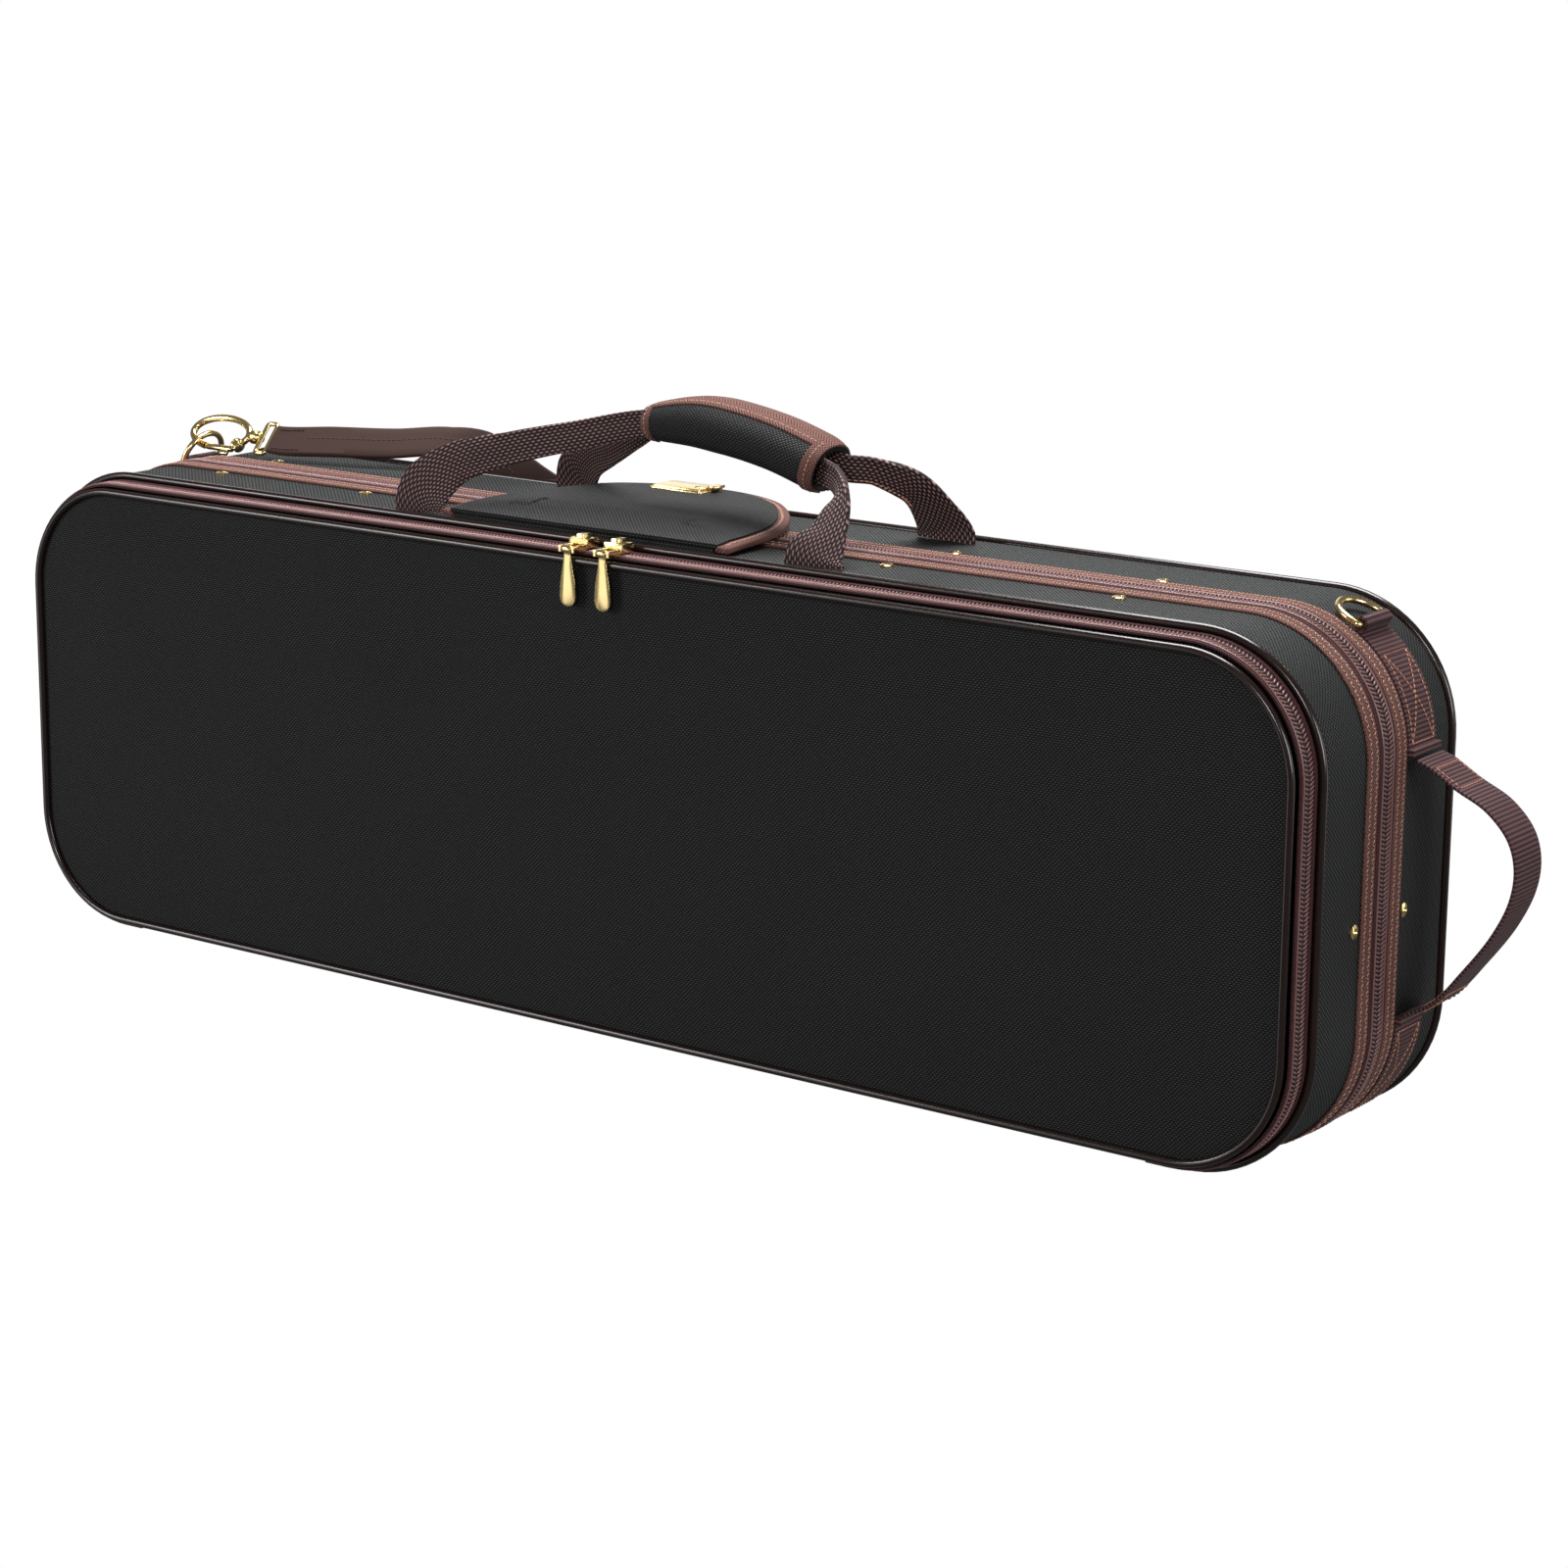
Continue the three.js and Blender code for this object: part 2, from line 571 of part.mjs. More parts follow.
const gateBar = () => new THREE.BoxGeometry(20.6, 3, 3.2).translate(4, -HOOK_HALF_WIDE + 0.4, 0);

// Hook and gate share a group that places them.
function hookPair(name, place) {
  const group = new THREE.Group();
  place(group);
  violinCase.add(group);
  add(`snap_hook_${name}`, snapHook(), GOLD, group);
  add(`snap_gate_${name}`, gateBar(), GOLD, group);
}

const rearSlope = Math.atan2(-200, 460); // the strap's fall across the back

function rearPoint(along, out) {
  return [rearHookEnd[0] - along * Math.cos(rearSlope), rearY + out,
    rearHookEnd[1] - along * Math.sin(rearSlope)];
}

function shoulderStrap() {
  hookPair("left", (g) => {
    g.position.set(...hookAt);
    g.rotation.x = THREE.MathUtils.degToRad(90 - HOOK_LEAN);
  });
  hookPair("rear", (g) => {
    g.position.set(...rearPoint(29, REAR_OUT));
    g.rotation.set(Math.PI / 2, 0, 0);
    g.rotateZ(Math.PI + rearSlope);
    g.rotateX(THREE.MathUtils.degToRad(REAR_HOOK_LEAN));
  });
  const lean = THREE.MathUtils.degToRad(HOOK_LEAN);
  const standing = [0, -Math.cos(lean), Math.sin(lean)];
  const top = (x, y, z, width) => ({ at: [x, y, z], face: standing, width });
  const back = (along, out) => ({ at: rearPoint(along, out), face: [0, -1, 0], width: 35 });
  const tilt = THREE.MathUtils.degToRad(REAR_HOOK_LEAN);
  const rearFace = [
    -Math.sin(tilt) * Math.sin(rearSlope), -Math.cos(tilt), Math.sin(tilt) * Math.cos(rearSlope),
  ];
  const stops = [
    top(-316.4, STRAP_Y, hookAt[2], 17), top(-306, STRAP_Y, hookAt[2], 18),
    top(-280, STRAP_Y + 6, 269, 19), top(-245, STRAP_Y + 18, 270, 19),
    top(-215, rearY - 4, 272, 19),
    { at: [-190, rearY + 4.6, 266], face: [0, -1, 0.1], width: 23 },
    back(530, 4), back(500, 4), back(440, 3.8), back(340, 3.6), back(220, 3.6), back(130, 3),
    { at: rearPoint(81, REAR_OUT), face: rearFace, width: 19 },
    { at: rearPoint(69, REAR_OUT), face: rearFace, width: 17 },
  ];
  add("shoulder_strap", ribbon(stops, 60, STRAP_THICK), STRAP_CLOTH);
}

function rearRing() {
  const ring = add("d_ring_rear", dRing(), GOLD);
  ring.position.set(rearHookEnd[0], rearY + REAR_OUT, rearHookEnd[1]);
  ring.rotation.set(Math.PI / 2, 0, 0);
  ring.rotateZ(Math.PI + rearSlope);
  const shape = new THREE.Shape().absarc(0, 0, 3.9, 0, 2 * Math.PI);
  shape.holes.push(new THREE.Path().absarc(0, 0, 2.2, 0, 2 * Math.PI, true));
  const eye = new THREE.ExtrudeGeometry(shape, { depth: 24, bevelEnabled: false, curveSegments: 6 })
    .translate(0, 0, -12).rotateX(Math.PI / 2);
  const patch = new THREE.BoxGeometry(34, 24, 6)
    .translate(-17, 0, rearY + REAR_OUT - bodyBack - GAP - 3);
  const tab = add("ring_tab_rear", join(eye, patch), WEBBING);
  tab.position.copy(ring.position);
  tab.rotation.copy(ring.rotation);
}

// The strap's slide adjuster, lying on the strap half way down the back.
function adjuster() {
  const frame = new THREE.BoxGeometry(26, 44, 2.4);
  const slot = (x) => new THREE.BoxGeometry(6, 37, 9).translate(x, 0, 0);
  const buckle = add("strap_adjuster", cut(frame, slot(-6.5), slot(6.5)), GOLD);
  buckle.position.set(...rearPoint(250, 3.6 + STRAP_THICK / 2 + GAP + 1.2));
  buckle.rotation.set(Math.PI / 2, 0, 0);
  buckle.rotateZ(Math.PI + rearSlope);
}

// ---- violin bed inside the body ----

const FOAM_FRONT = SPLIT + 20;
const FOAM_BACK = bodyFloor - GAP;
const BED_FLOOR = FOAM_BACK - 6; // bottom of the violin's hollow
const NECK_HALF = 31;
const WELL_LEFT = -372;
const WELL_RIGHT = -62;
const WELL_FAR = 104; // case middle to the wells' outer edge
const WELL_NEAR = 42; // case middle to the wells' inner edge

// The violin's outline, a little larger all round, lower bout towards +X.
function violinShape() {
  const half = [
    [20, 30], [34, 58], [62, 82], [98, 89], [130, 78], [152, 63], [178, 58], [204, 64],
    [226, 80], [258, 103], [304, 110], [346, 100], [372, 70], [380, 30],
  ];
  const upper = new THREE.SplineCurve(half.map(([x, z]) => new THREE.Vector2(x, MID_Z + z)));
  const points = upper.getPoints(34);
  const mirrored = points.map((p) => new THREE.Vector2(p.x, 2 * MID_Z - p.y)).reverse();
  return new THREE.Shape([...mirrored, ...points]);
}

function cradle() {
  const block = slab(outline(-BODY_WALL - GAP), FOAM_FRONT, FOAM_BACK);
  const front = FOAM_FRONT - 5;
  const well = (sign) => {
    const z = [MID_Z + sign * WELL_NEAR, MID_Z + sign * WELL_FAR].sort((a, b) => a - b);
    return box(WELL_LEFT, WELL_RIGHT, front, BED_FLOOR, z[0], z[1]);
  };
  const neck = box(-232, 40, front, BED_FLOOR, MID_Z - NECK_HALF, MID_Z + NECK_HALF);
  const scroll = box(-372, -240, front, BED_FLOOR, MID_Z - NECK_HALF, MID_Z + NECK_HALF);
  const bed = cut(block, slab(violinShape(), front, BED_FLOOR), neck, scroll, well(-1), well(1));
  add("cradle_foam", bed, PLUSH);
  const pad = (x0, x1, half) => slab(roundedRect(x0, x1, MID_Z - half, MID_Z + half, 6),
    BED_FLOOR - 12, BED_FLOOR - GAP);
  add("suspension_pad_upper", pad(48, 78, 40), PLUSH);
  add("suspension_pad_lower", pad(330, 362, 48), PLUSH);
}

function roundedRect(x0, x1, z0, z1, r) {
  const shape = new THREE.Shape();
  shape.moveTo(x0 + r, z0);
  shape.absarc(x1 - r, z0 + r, r, -Math.PI / 2, 0);
  shape.absarc(x1 - r, z1 - r, r, 0, Math.PI / 2);
  shape.absarc(x0 + r, z1 - r, r, Math.PI / 2, Math.PI);
  shape.absarc(x0 + r, z0 + r, r, Math.PI, 1.5 * Math.PI);
  shape.closePath();
  return shape;
}

const REST_X = [-62, -28]; // the neck rest's ends
const STRAP_HINGE_Z = MID_Z - NECK_HALF - 3;

function neckRest() {
  const notch = new THREE.CylinderGeometry(21, 21, 60, 20).rotateZ(Math.PI / 2)
    .translate(-45, FOAM_FRONT - 2, MID_Z);
  const side = NECK_HALF - GAP;
  const block = box(REST_X[0], REST_X[1], FOAM_FRONT, BED_FLOOR - GAP, MID_Z - side, MID_Z + side);
  add("neck_rest", cut(block, notch), PLUSH);
  add("neck_strap", box(-56, -34, FOAM_FRONT - 2.3, FOAM_FRONT - GAP,
    STRAP_HINGE_Z, STRAP_HINGE_Z + 2 * (MID_Z - STRAP_HINGE_Z)), WEBBING);
}

// A lid over the lower well, hinged along its lower edge.
function accessoryLid() {
  const low = MID_Z - WELL_FAR - 3;
  const high = MID_Z - WELL_NEAR + 3;
  const shape = roundedRect(WELL_LEFT + 16, WELL_RIGHT - 2, low, high, 5);
  add("accessory_lid", slab(shape, FOAM_FRONT - 4.3, FOAM_FRONT - GAP), PLUSH);
  add("accessory_lid_tab", box(-225, -205, FOAM_FRONT - 6.1, FOAM_FRONT - 4.3 - GAP,
    high - 12, high + 4), WEBBING);
}

// ---- lid lining, bow holders ----

const BOW_Z = [MID_Z - 6, MID_Z + 62];
const liningBack = lidFloor + GAP + 5;

function lidInside() {
  add("lid_lining", slab(outline(-LID_WALL - GAP), lidFloor + GAP, liningBack), PLUSH);
  ["lower", "upper"].forEach((side, i) => {
    const z = BOW_Z[i];
    const sleeve = box(-372, -290, liningBack + GAP, liningBack + 18, z - 17, z + 17);
    const hollow = box(-369, -280, liningBack + 3, liningBack + 15.5, z - 14.5, z + 14.5);
    add(`bow_sleeve_${side}`, cut(sleeve, hollow), PLUSH);
    const foot = new THREE.CylinderGeometry(8, 8, 6, 16).translate(240, liningBack + GAP + 3, z);
    const bar = slab(roundedRect(216, 264, z - 7, z + 7, 6.9), liningBack + GAP + 6, liningBack + GAP + 12);
    add(`bow_spinner_${side}`, join(foot, bar), PLUSH);
  });
}

shells();
splitTrim();
pocket();
zips();
flap();
clasp();
handle();
cornerRings();
endStrap();
shoulderStrap();
rearRing();
adjuster();
cradle();
neckRest();
accessoryLid();
lidInside();

export default violinCase;
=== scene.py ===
"""Looks of an oblong zipped violin case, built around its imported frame.

The case stands on its long hinge side: +X runs along it, -Y towards the front pocket.
Every piece is modelled in millimetres and settled into metres when it is finished.
"""

import logging
import math
from dataclasses import dataclass, field
from enum import Enum
from typing import Callable, Optional, Sequence

import bmesh
import bpy
import numpy as np
from mathutils import Matrix, Vector


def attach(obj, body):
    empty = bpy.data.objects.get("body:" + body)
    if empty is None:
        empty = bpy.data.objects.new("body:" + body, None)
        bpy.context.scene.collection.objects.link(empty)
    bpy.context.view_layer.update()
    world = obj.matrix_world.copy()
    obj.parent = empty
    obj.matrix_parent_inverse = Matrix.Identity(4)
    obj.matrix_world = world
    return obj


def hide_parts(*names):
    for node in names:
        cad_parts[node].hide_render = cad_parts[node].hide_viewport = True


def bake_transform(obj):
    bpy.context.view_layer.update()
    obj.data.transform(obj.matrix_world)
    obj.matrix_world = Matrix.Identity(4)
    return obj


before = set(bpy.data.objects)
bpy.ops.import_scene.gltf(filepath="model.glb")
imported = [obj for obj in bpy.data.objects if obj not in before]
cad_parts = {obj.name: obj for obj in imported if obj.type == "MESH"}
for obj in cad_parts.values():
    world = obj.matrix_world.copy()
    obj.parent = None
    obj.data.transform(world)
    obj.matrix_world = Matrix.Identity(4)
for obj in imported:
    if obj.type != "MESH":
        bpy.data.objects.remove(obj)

LOG = logging.getLogger("violin_case")

MM = 0.001
LENGTH = 800.6
HEIGHT = 254.8
CORNER = 64.0
PROUD = 1.8
SPLIT = -8.0
MID_Z = PROUD + HEIGHT / 2
TOP_Z = PROUD + HEIGHT
LOW_Z = PROUD
CORNER_X = LENGTH / 2 - CORNER
CORNER_UP = HEIGHT / 2 - CORNER
LID_FRONT = SPLIT - 56.1
LID_PIPE = SPLIT - 58.5
BODY_BACK = SPLIT + 64.5
BODY_PIPE = SPLIT + 66.9
POCKET_PIPE = SPLIT - 76.3
POCKET_INSET = 7.1
HINGE_HALF = 324.0
STRAP_Y = SPLIT + 33
ARC_CUTS = 18
UV_NAME = "cloth"
FACES_Y = 0.75
NODE_MERGE = 0.005
POINT_MERGE = 0.001
PIPE_RADIUS = 2.1
PIPE_FLANGE = 3.4
SHELL_INSETS = (8, 10, 12, 14)
COVER_INSETS = (2.5, 3.5, 5, 7, 9, 11, 13)
FLAP_INSETS = (3, 5, 7, 9, 11)
FLAP_DROP = 4.9
FLAP_SIDE_DROP = 3.3

Colour = tuple[float, float, float]


# ---- working with operators -------------------------------------------------------------


class Pick(Enum):
    """What edit mode selects."""

    POINTS = "VERT"
    EDGES = "EDGE"
    FACES = "FACE"


def deselect_all() -> None:
    """Leaves edit mode and selects nothing."""
    if bpy.context.object and bpy.context.object.mode != "OBJECT":
        bpy.ops.object.mode_set(mode="OBJECT")
    bpy.ops.object.select_all(action="DESELECT")


def focus(obj: bpy.types.Object) -> None:
    """Selects one object and makes it active."""
    deselect_all()
    obj.select_set(True)
    bpy.context.view_layer.objects.active = obj


def edit(obj: bpy.types.Object) -> None:
    """Opens one object in edit mode."""
    focus(obj)
    bpy.ops.object.mode_set(mode="EDIT")


def leave() -> None:
    """Goes back to object mode."""
    bpy.ops.object.mode_set(mode="OBJECT")


def take_all() -> None:
    """Selects everything in the mesh being edited."""
    bpy.ops.mesh.select_all(action="SELECT")


def cut(**settings: object) -> None:
    """Cuts the whole mesh being edited along a plane."""
    take_all()
    bpy.ops.mesh.bisect(**settings)


def stretch(size: Sequence[float], about: Sequence[float] = (0, 0, 0)) -> None:
    """Scales what is selected about a point."""
    bpy.ops.transform.resize(value=size, center_override=about)


def drop_face() -> None:
    """Leaves only the outline of the panel being edited."""
    bpy.ops.mesh.select_mode(type="FACE")
    take_all()
    bpy.ops.mesh.delete(type="ONLY_FACE")


def added(operator: Callable, **settings: object) -> bpy.types.Object:
    """Runs an operator that adds an object, and returns the object."""
    deselect_all()
    operator(**settings)
    return bpy.context.object


def apply_placing() -> None:
    """Puts the active object's place, turn and size into its mesh."""
    bpy.ops.object.transform_apply(location=True, rotation=True, scale=True)


def even_normals(obj: bpy.types.Object) -> None:
    """Makes all faces look the same way, outwards if the shape is closed."""
    edit(obj)
    take_all()
    bpy.ops.mesh.normals_make_consistent(inside=False)
    leave()


def turn_over(obj: bpy.types.Object) -> None:
    """Flips every face."""
    edit(obj)
    take_all()
    bpy.ops.mesh.flip_normals()
    leave()


def choose(obj: bpy.types.Object, kind: Pick, wanted: Callable[[Vector, object], bool]) -> None:
    """Selects elements of the mesh being edited by their middle.

    Args:
        obj: The object in edit mode.
        kind: What to select.
        wanted: Takes an element's middle and the element, and says whether to select it.
    """
    bpy.ops.mesh.select_mode(type=kind.value)
    bpy.ops.mesh.select_all(action="DESELECT")
    mesh = bmesh.from_edit_mesh(obj.data)
    if kind is Pick.POINTS:
        found = [point for point in mesh.verts if wanted(point.co, point)]
    elif kind is Pick.EDGES:
        found = [edge for edge in mesh.edges
                 if wanted((edge.verts[0].co + edge.verts[1].co) / 2, edge)]
    else:
        found = [face for face in mesh.faces if wanted(face.calc_center_median(), face)]
    for element in found:
        element.select_set(True)
    bmesh.update_edit_mesh(obj.data)


def thicken(obj: bpy.types.Object, thickness: float) -> None:
    """Gives a panel its thickness inwards, with a second material slot for its inside."""
    while len(obj.data.materials) < 2:
        obj.data.materials.append(None)
    modify(obj, "SOLIDIFY", thickness=thickness, offset=-1.0, material_offset=1)


def modify(obj: bpy.types.Object, kind: str, **settings: object) -> None:
    """Adds a modifier, sets it and applies it."""
    focus(obj)
    modifier = obj.modifiers.new(kind.title(), kind)
    for name, value in settings.items():
        setattr(modifier, name, value)
    bpy.ops.object.modifier_apply(modifier=modifier.name)


def mesh_object(name: str, points: np.ndarray, faces: Sequence[Sequence[int]],
                uvs: Optional[np.ndarray] = None) -> bpy.types.Object:
    """Makes an object straight from points and faces.

    Args:
        name: The object's name.
        points: One row of three millimetres for each point.
        faces: The point numbers of each face.
        uvs: One row of two for each point, or None.

    Returns:
        The new object.
    """
    mesh = bpy.data.meshes.new(name)
    mesh.from_pydata([tuple(p) for p in points], [], faces)
    if uvs is not None:
        layer = mesh.uv_layers.new(name=UV_NAME)
        for loop in mesh.loops:
            layer.data[loop.index].uv = uvs[loop.vertex_index]
    obj = bpy.data.objects.new(name, mesh)
    bpy.context.scene.collection.objects.link(obj)
    return obj


def faces_out(obj: bpy.types.Object) -> None:
    """Merges doubles and turns every face outwards."""
    edit(obj)
    take_all()
    bpy.ops.mesh.remove_doubles(threshold=POINT_MERGE)
    bpy.ops.mesh.normals_make_consistent(inside=False)
    leave()


def around(x: float, z: float) -> float:
    """Distance along the case outline from the middle of its top, for a point near it.

    Args:
        x: Place along the case.
        z: Height above the case's middle.

    Returns:
        The distance in millimetres, negative on the left.
    """
    side = -1.0 if x < 0 else 1.0
    cx = min(abs(x), CORNER_X)
    cz = max(min(z, CORNER_UP), -CORNER_UP)
    angle = math.atan2(z - cz, abs(x) - cx)
    run = cx + CORNER * (math.pi / 2 - angle) + (CORNER_UP - cz)
    if z < -CORNER_UP:
        run += CORNER_X - cx
    return side * run


def lay_cloth(obj: bpy.types.Object) -> None:
    """Gives a case panel its cloth UVs: flat on panels that face Y, wrapped on the sides."""
    mesh = obj.data
    layer = mesh.uv_layers.get(UV_NAME) or mesh.uv_layers.new(name=UV_NAME)
    for face in mesh.polygons:
        flat = abs(face.normal.y) > FACES_Y
        for index in face.loop_indices:
            co = mesh.vertices[mesh.loops[index].vertex_index].co
            layer.data[index].uv = (co.x, co.z) if flat else (around(co.x, co.z - MID_Z), co.y)


def lay_box(obj: bpy.types.Object) -> None:
    """Gives a small piece box-projected cloth UVs."""
    mesh = obj.data
    layer = mesh.uv_layers.get(UV_NAME) or mesh.uv_layers.new(name=UV_NAME)
    for face in mesh.polygons:
        n = [abs(v) for v in face.normal]
        across = n.index(max(n))
        keep = [axis for axis in range(3) if axis != across]
        for index in face.loop_indices:
            co = mesh.vertices[mesh.loops[index].vertex_index].co
            layer.data[index].uv = (co[keep[0]], co[keep[1]])


# ---- finishes ---------------------------------------------------------------------------


class Weave(Enum):
    """How a cloth is woven."""

    BASKET = "basket"
    TWILL = "twill"
    RIB = "rib"
    HERRINGBONE = "herringbone"
    PLUSH = "plush"


class Graph:
    """A material's node graph around one Principled shader."""

    def __init__(self, name: str) -> None:
        """Starts an empty material with its shader and output."""
        self.material = bpy.data.materials.new(name)
        self.material.use_nodes = True
        self.tree = self.material.node_tree
        self.tree.nodes.clear()
        self.shader = self.tree.nodes.new("ShaderNodeBsdfPrincipled")
        output = self.tree.nodes.new("ShaderNodeOutputMaterial")
        self.tree.links.new(self.shader.outputs[0], output.inputs[0])

    def wire(self, value: object, socket: bpy.types.NodeSocket) -> None:
        """Links a socket, or sets a plain value."""
        if isinstance(value, bpy.types.NodeSocket):
            self.tree.links.new(value, socket)
        elif value is not None:
            socket.default_value = value

    def math(self, operation: str, a: object, b: object = None, c: object = None) -> object:
        """A Math node's result."""
        node = self.tree.nodes.new("ShaderNodeMath")
        node.operation = operation
        for value, socket in zip((a, b, c), node.inputs):
            self.wire(value, socket)
        return node.outputs[0]

    def blend(self, factor: object, a: object, b: object) -> object:
        """A float mix of two values."""
        node = self.tree.nodes.new("ShaderNodeMix")
        for value, socket in zip((factor, a, b), (node.inputs[0], node.inputs[2], node.inputs[3])):
            self.wire(value, socket)
        return node.outputs[0]

    def tint(self, factor: object, a: Colour, b: object) -> object:
        """A colour mix of two colours."""
        node = self.tree.nodes.new("ShaderNodeMix")
        node.data_type = "RGBA"
        self.wire(factor, node.inputs[0])
        for value, socket in ((a, node.inputs[6]), (b, node.inputs[7])):
            self.wire((*value, 1.0) if isinstance(value, tuple) else value, socket)
        return node.outputs[2]

    def noise(self, vector: object, scale: float, detail: float = 2.0) -> object:
        """A Noise node's value."""
        node = self.tree.nodes.new("ShaderNodeTexNoise")
        node.inputs["Scale"].default_value = scale
        node.inputs["Detail"].default_value = detail
        self.wire(vector, node.inputs["Vector"])
        return node.outputs[0]

    def place(self) -> object:
        """The point on the object, in metres."""
        return self.tree.nodes.new("ShaderNodeTexCoord").outputs["Object"]

    def cloth(self) -> tuple[object, object]:
        """The cloth's own two coordinates, in millimetres."""
        node = self.tree.nodes.new("ShaderNodeUVMap")
        node.uv_map = UV_NAME
        split = self.tree.nodes.new("ShaderNodeSeparateXYZ")
        self.tree.links.new(node.outputs[0], split.inputs[0])
        return split.outputs[0], split.outputs[1]

    def relief(self, height: object, strength: float, distance: float) -> None:
        """Bumps the shader's normal by a height."""
        node = self.tree.nodes.new("ShaderNodeBump")
        node.inputs["Strength"].default_value = strength
        node.inputs["Distance"].default_value = distance
        self.wire(height, node.inputs["Height"])
        self.tree.links.new(node.outputs[0], self.shader.inputs["Normal"])

    def hump(self, value: object) -> object:
        """A half wave that rises and falls once for each whole step of a value."""
        part = self.math("FRACT", value)
        return self.math("SINE", self.math("MULTIPLY", part, math.pi))


@dataclass(frozen=True)
class Cloth:
    """A woven or napped cloth; a weave is coloured with a painted highlight on its raised threads
    and painted shade in its gaps.
    """

    name: str
    slot: str
    weave: Weave
    pitch: float
    # The first colour is the thread's, and on a weave also the painted highlight on its knots; the
    # second is painted shade in a weave's gaps; on plush both are only its random lighter and
    # darker nap.
    thread_and_highlight: Colour
    shade: Colour
    relief: float = 0.35
    roughness: float = 0.75
    sheen: float = 0.15
    patchy: float = 0.25
    knot: float = 1.0

    def height(self, g: Graph) -> object:
        """The weave's height, from 0 in its gaps to 1 on its threads."""
        u, v = g.cloth()
        a = g.math("DIVIDE", u, self.pitch)
        b = g.math("DIVIDE", v, self.pitch)
        if self.weave is Weave.PLUSH:
            return g.noise(g.place(), 900.0, 3.0)
        if self.weave is Weave.RIB:
            across = g.hump(g.math("MULTIPLY", b, 1.7))
            return g.math("MULTIPLY", g.hump(a), g.blend(0.35, 1.0, across))
        if self.weave is Weave.HERRINGBONE:
            fold = g.math("PINGPONG", b, 2.0)
            return g.hump(g.math("ADD", a, fold))
        if self.weave is Weave.TWILL:
            slant = g.hump(g.math("ADD", a, g.math("MULTIPLY", b, 0.5)))
            return g.math("MULTIPLY", slant, g.blend(0.5, 1.0, g.hump(b)))
        row = g.math("MULTIPLY", b, 2.0)
        shifted = g.math("ADD", a, g.math("MULTIPLY", g.math("FLOOR", row), 0.5))
        return g.math("MULTIPLY", g.hump(shifted), g.hump(row))

    def material(self) -> bpy.types.Material:
        """The cloth's material, made once."""
        if self.name in bpy.data.materials:
            return bpy.data.materials[self.name]
        g = Graph(self.name)
        height = self.height(g)
        # Painted highlight and shade: the weave's height picks between the painted shade of the
        # gaps and the painted highlight of the knots, raised to knot so the highlight stays at the
        # knots' middles.
        colour = g.tint(g.math("POWER", height, self.knot), self.shade, self.thread_and_highlight)
        wear = g.noise(g.place(), 14.0, 4.0)
        dark = tuple(c * (1 - self.patchy) for c in self.shade)
        colour = g.tint(g.math("MULTIPLY", wear, self.patchy), colour, dark)
        g.wire(colour, g.shader.inputs["Base Color"])
        rough = g.math("SUBTRACT", self.roughness + 0.12, g.math("MULTIPLY", height, 0.2))
        g.wire(rough, g.shader.inputs["Roughness"])
        g.shader.inputs["Sheen Weight"].default_value = self.sheen
        g.shader.inputs["Sheen Roughness"].default_value = 0.4
        g.shader.inputs["Specular IOR Level"].default_value = 0.22
        soft = g.noise(g.place(), 9.0, 2.0)
        g.relief(g.math("ADD", height, g.math("MULTIPLY", soft, 4.0)), 0.8, self.relief * MM)
        return g.material


@dataclass(frozen=True)
class Gloss:
    """A smooth shell: vinyl piping, moulded coil or gold plate."""

    name: str
    slot: str
    colour: Colour
    deep: Colour
    roughness: float
    metallic: float = 0.0
    coat: float = 0.0

    def material(self) -> bpy.types.Material:
        """The material, made once."""
        if self.name in bpy.data.materials:
            return bpy.data.materials[self.name]
        g = Graph(self.name)
        handled = g.noise(g.place(), 60.0, 3.0)
        g.wire(g.tint(g.math("MULTIPLY", handled, 0.5), self.colour, self.deep),
               g.shader.inputs["Base Color"])
        marks = g.noise(g.place(), 420.0, 2.0)
        g.wire(g.math("ADD", self.roughness, g.math("MULTIPLY", marks, 0.08)),
               g.shader.inputs["Roughness"])
        g.shader.inputs["Metallic"].default_value = self.metallic
        g.shader.inputs["Coat Weight"].default_value = self.coat
        g.shader.inputs["Coat Roughness"].default_value = 0.12
        if not self.metallic:
            g.relief(g.math("ADD", marks, g.math("MULTIPLY", handled, 2.0)), 0.15, 0.00005)
        return g.material


Finish = Cloth | Gloss

OXFORD = Cloth("black_oxford", "nylon", Weave.BASKET, 2.2, (0.062, 0.064, 0.066),
               (0.0008, 0.0008, 0.0009), relief=0.5, roughness=0.6, sheen=0.0, knot=3.0)
SIDE_NYLON = Cloth("black_side_nylon", "nylon", Weave.BASKET, 2.5, (0.095, 0.102, 0.102),
                   (0.0012, 0.0012, 0.0014), relief=0.5, roughness=0.6, sheen=0.0, knot=2.8)
END_WEBBING = Cloth("brown_ribbed_webbing", "webbing", Weave.RIB, 2.2, (0.150, 0.068, 0.070),
                    (0.022, 0.008, 0.010), relief=0.5, roughness=0.55, sheen=0.05, knot=2.4)
WEBBING = Cloth("brown_webbing", "webbing", Weave.BASKET, 3.2, (0.38, 0.22, 0.21),
                (0.008, 0.003, 0.0035), relief=0.7, roughness=0.55, sheen=0.05, knot=2.8)
BINDING = Cloth("woven_edge_tape", "woven_binding", Weave.HERRINGBONE, 1.7, (0.20, 0.088, 0.068),
                (0.030, 0.011, 0.009), relief=0.5, sheen=0.05, knot=1.2)
ZIP_TAPE = Cloth("zip_tape", "zip", Weave.HERRINGBONE, 1.5, (0.062, 0.019, 0.021),
                 (0.022, 0.007, 0.008), relief=0.25, sheen=0.03)
STRAP_CLOTH = Cloth("strap_cloth", "strap_cloth", Weave.TWILL, 1.9, (0.026, 0.008, 0.008),
                    (0.003, 0.001, 0.001), relief=0.35, sheen=0.03, knot=1.2)
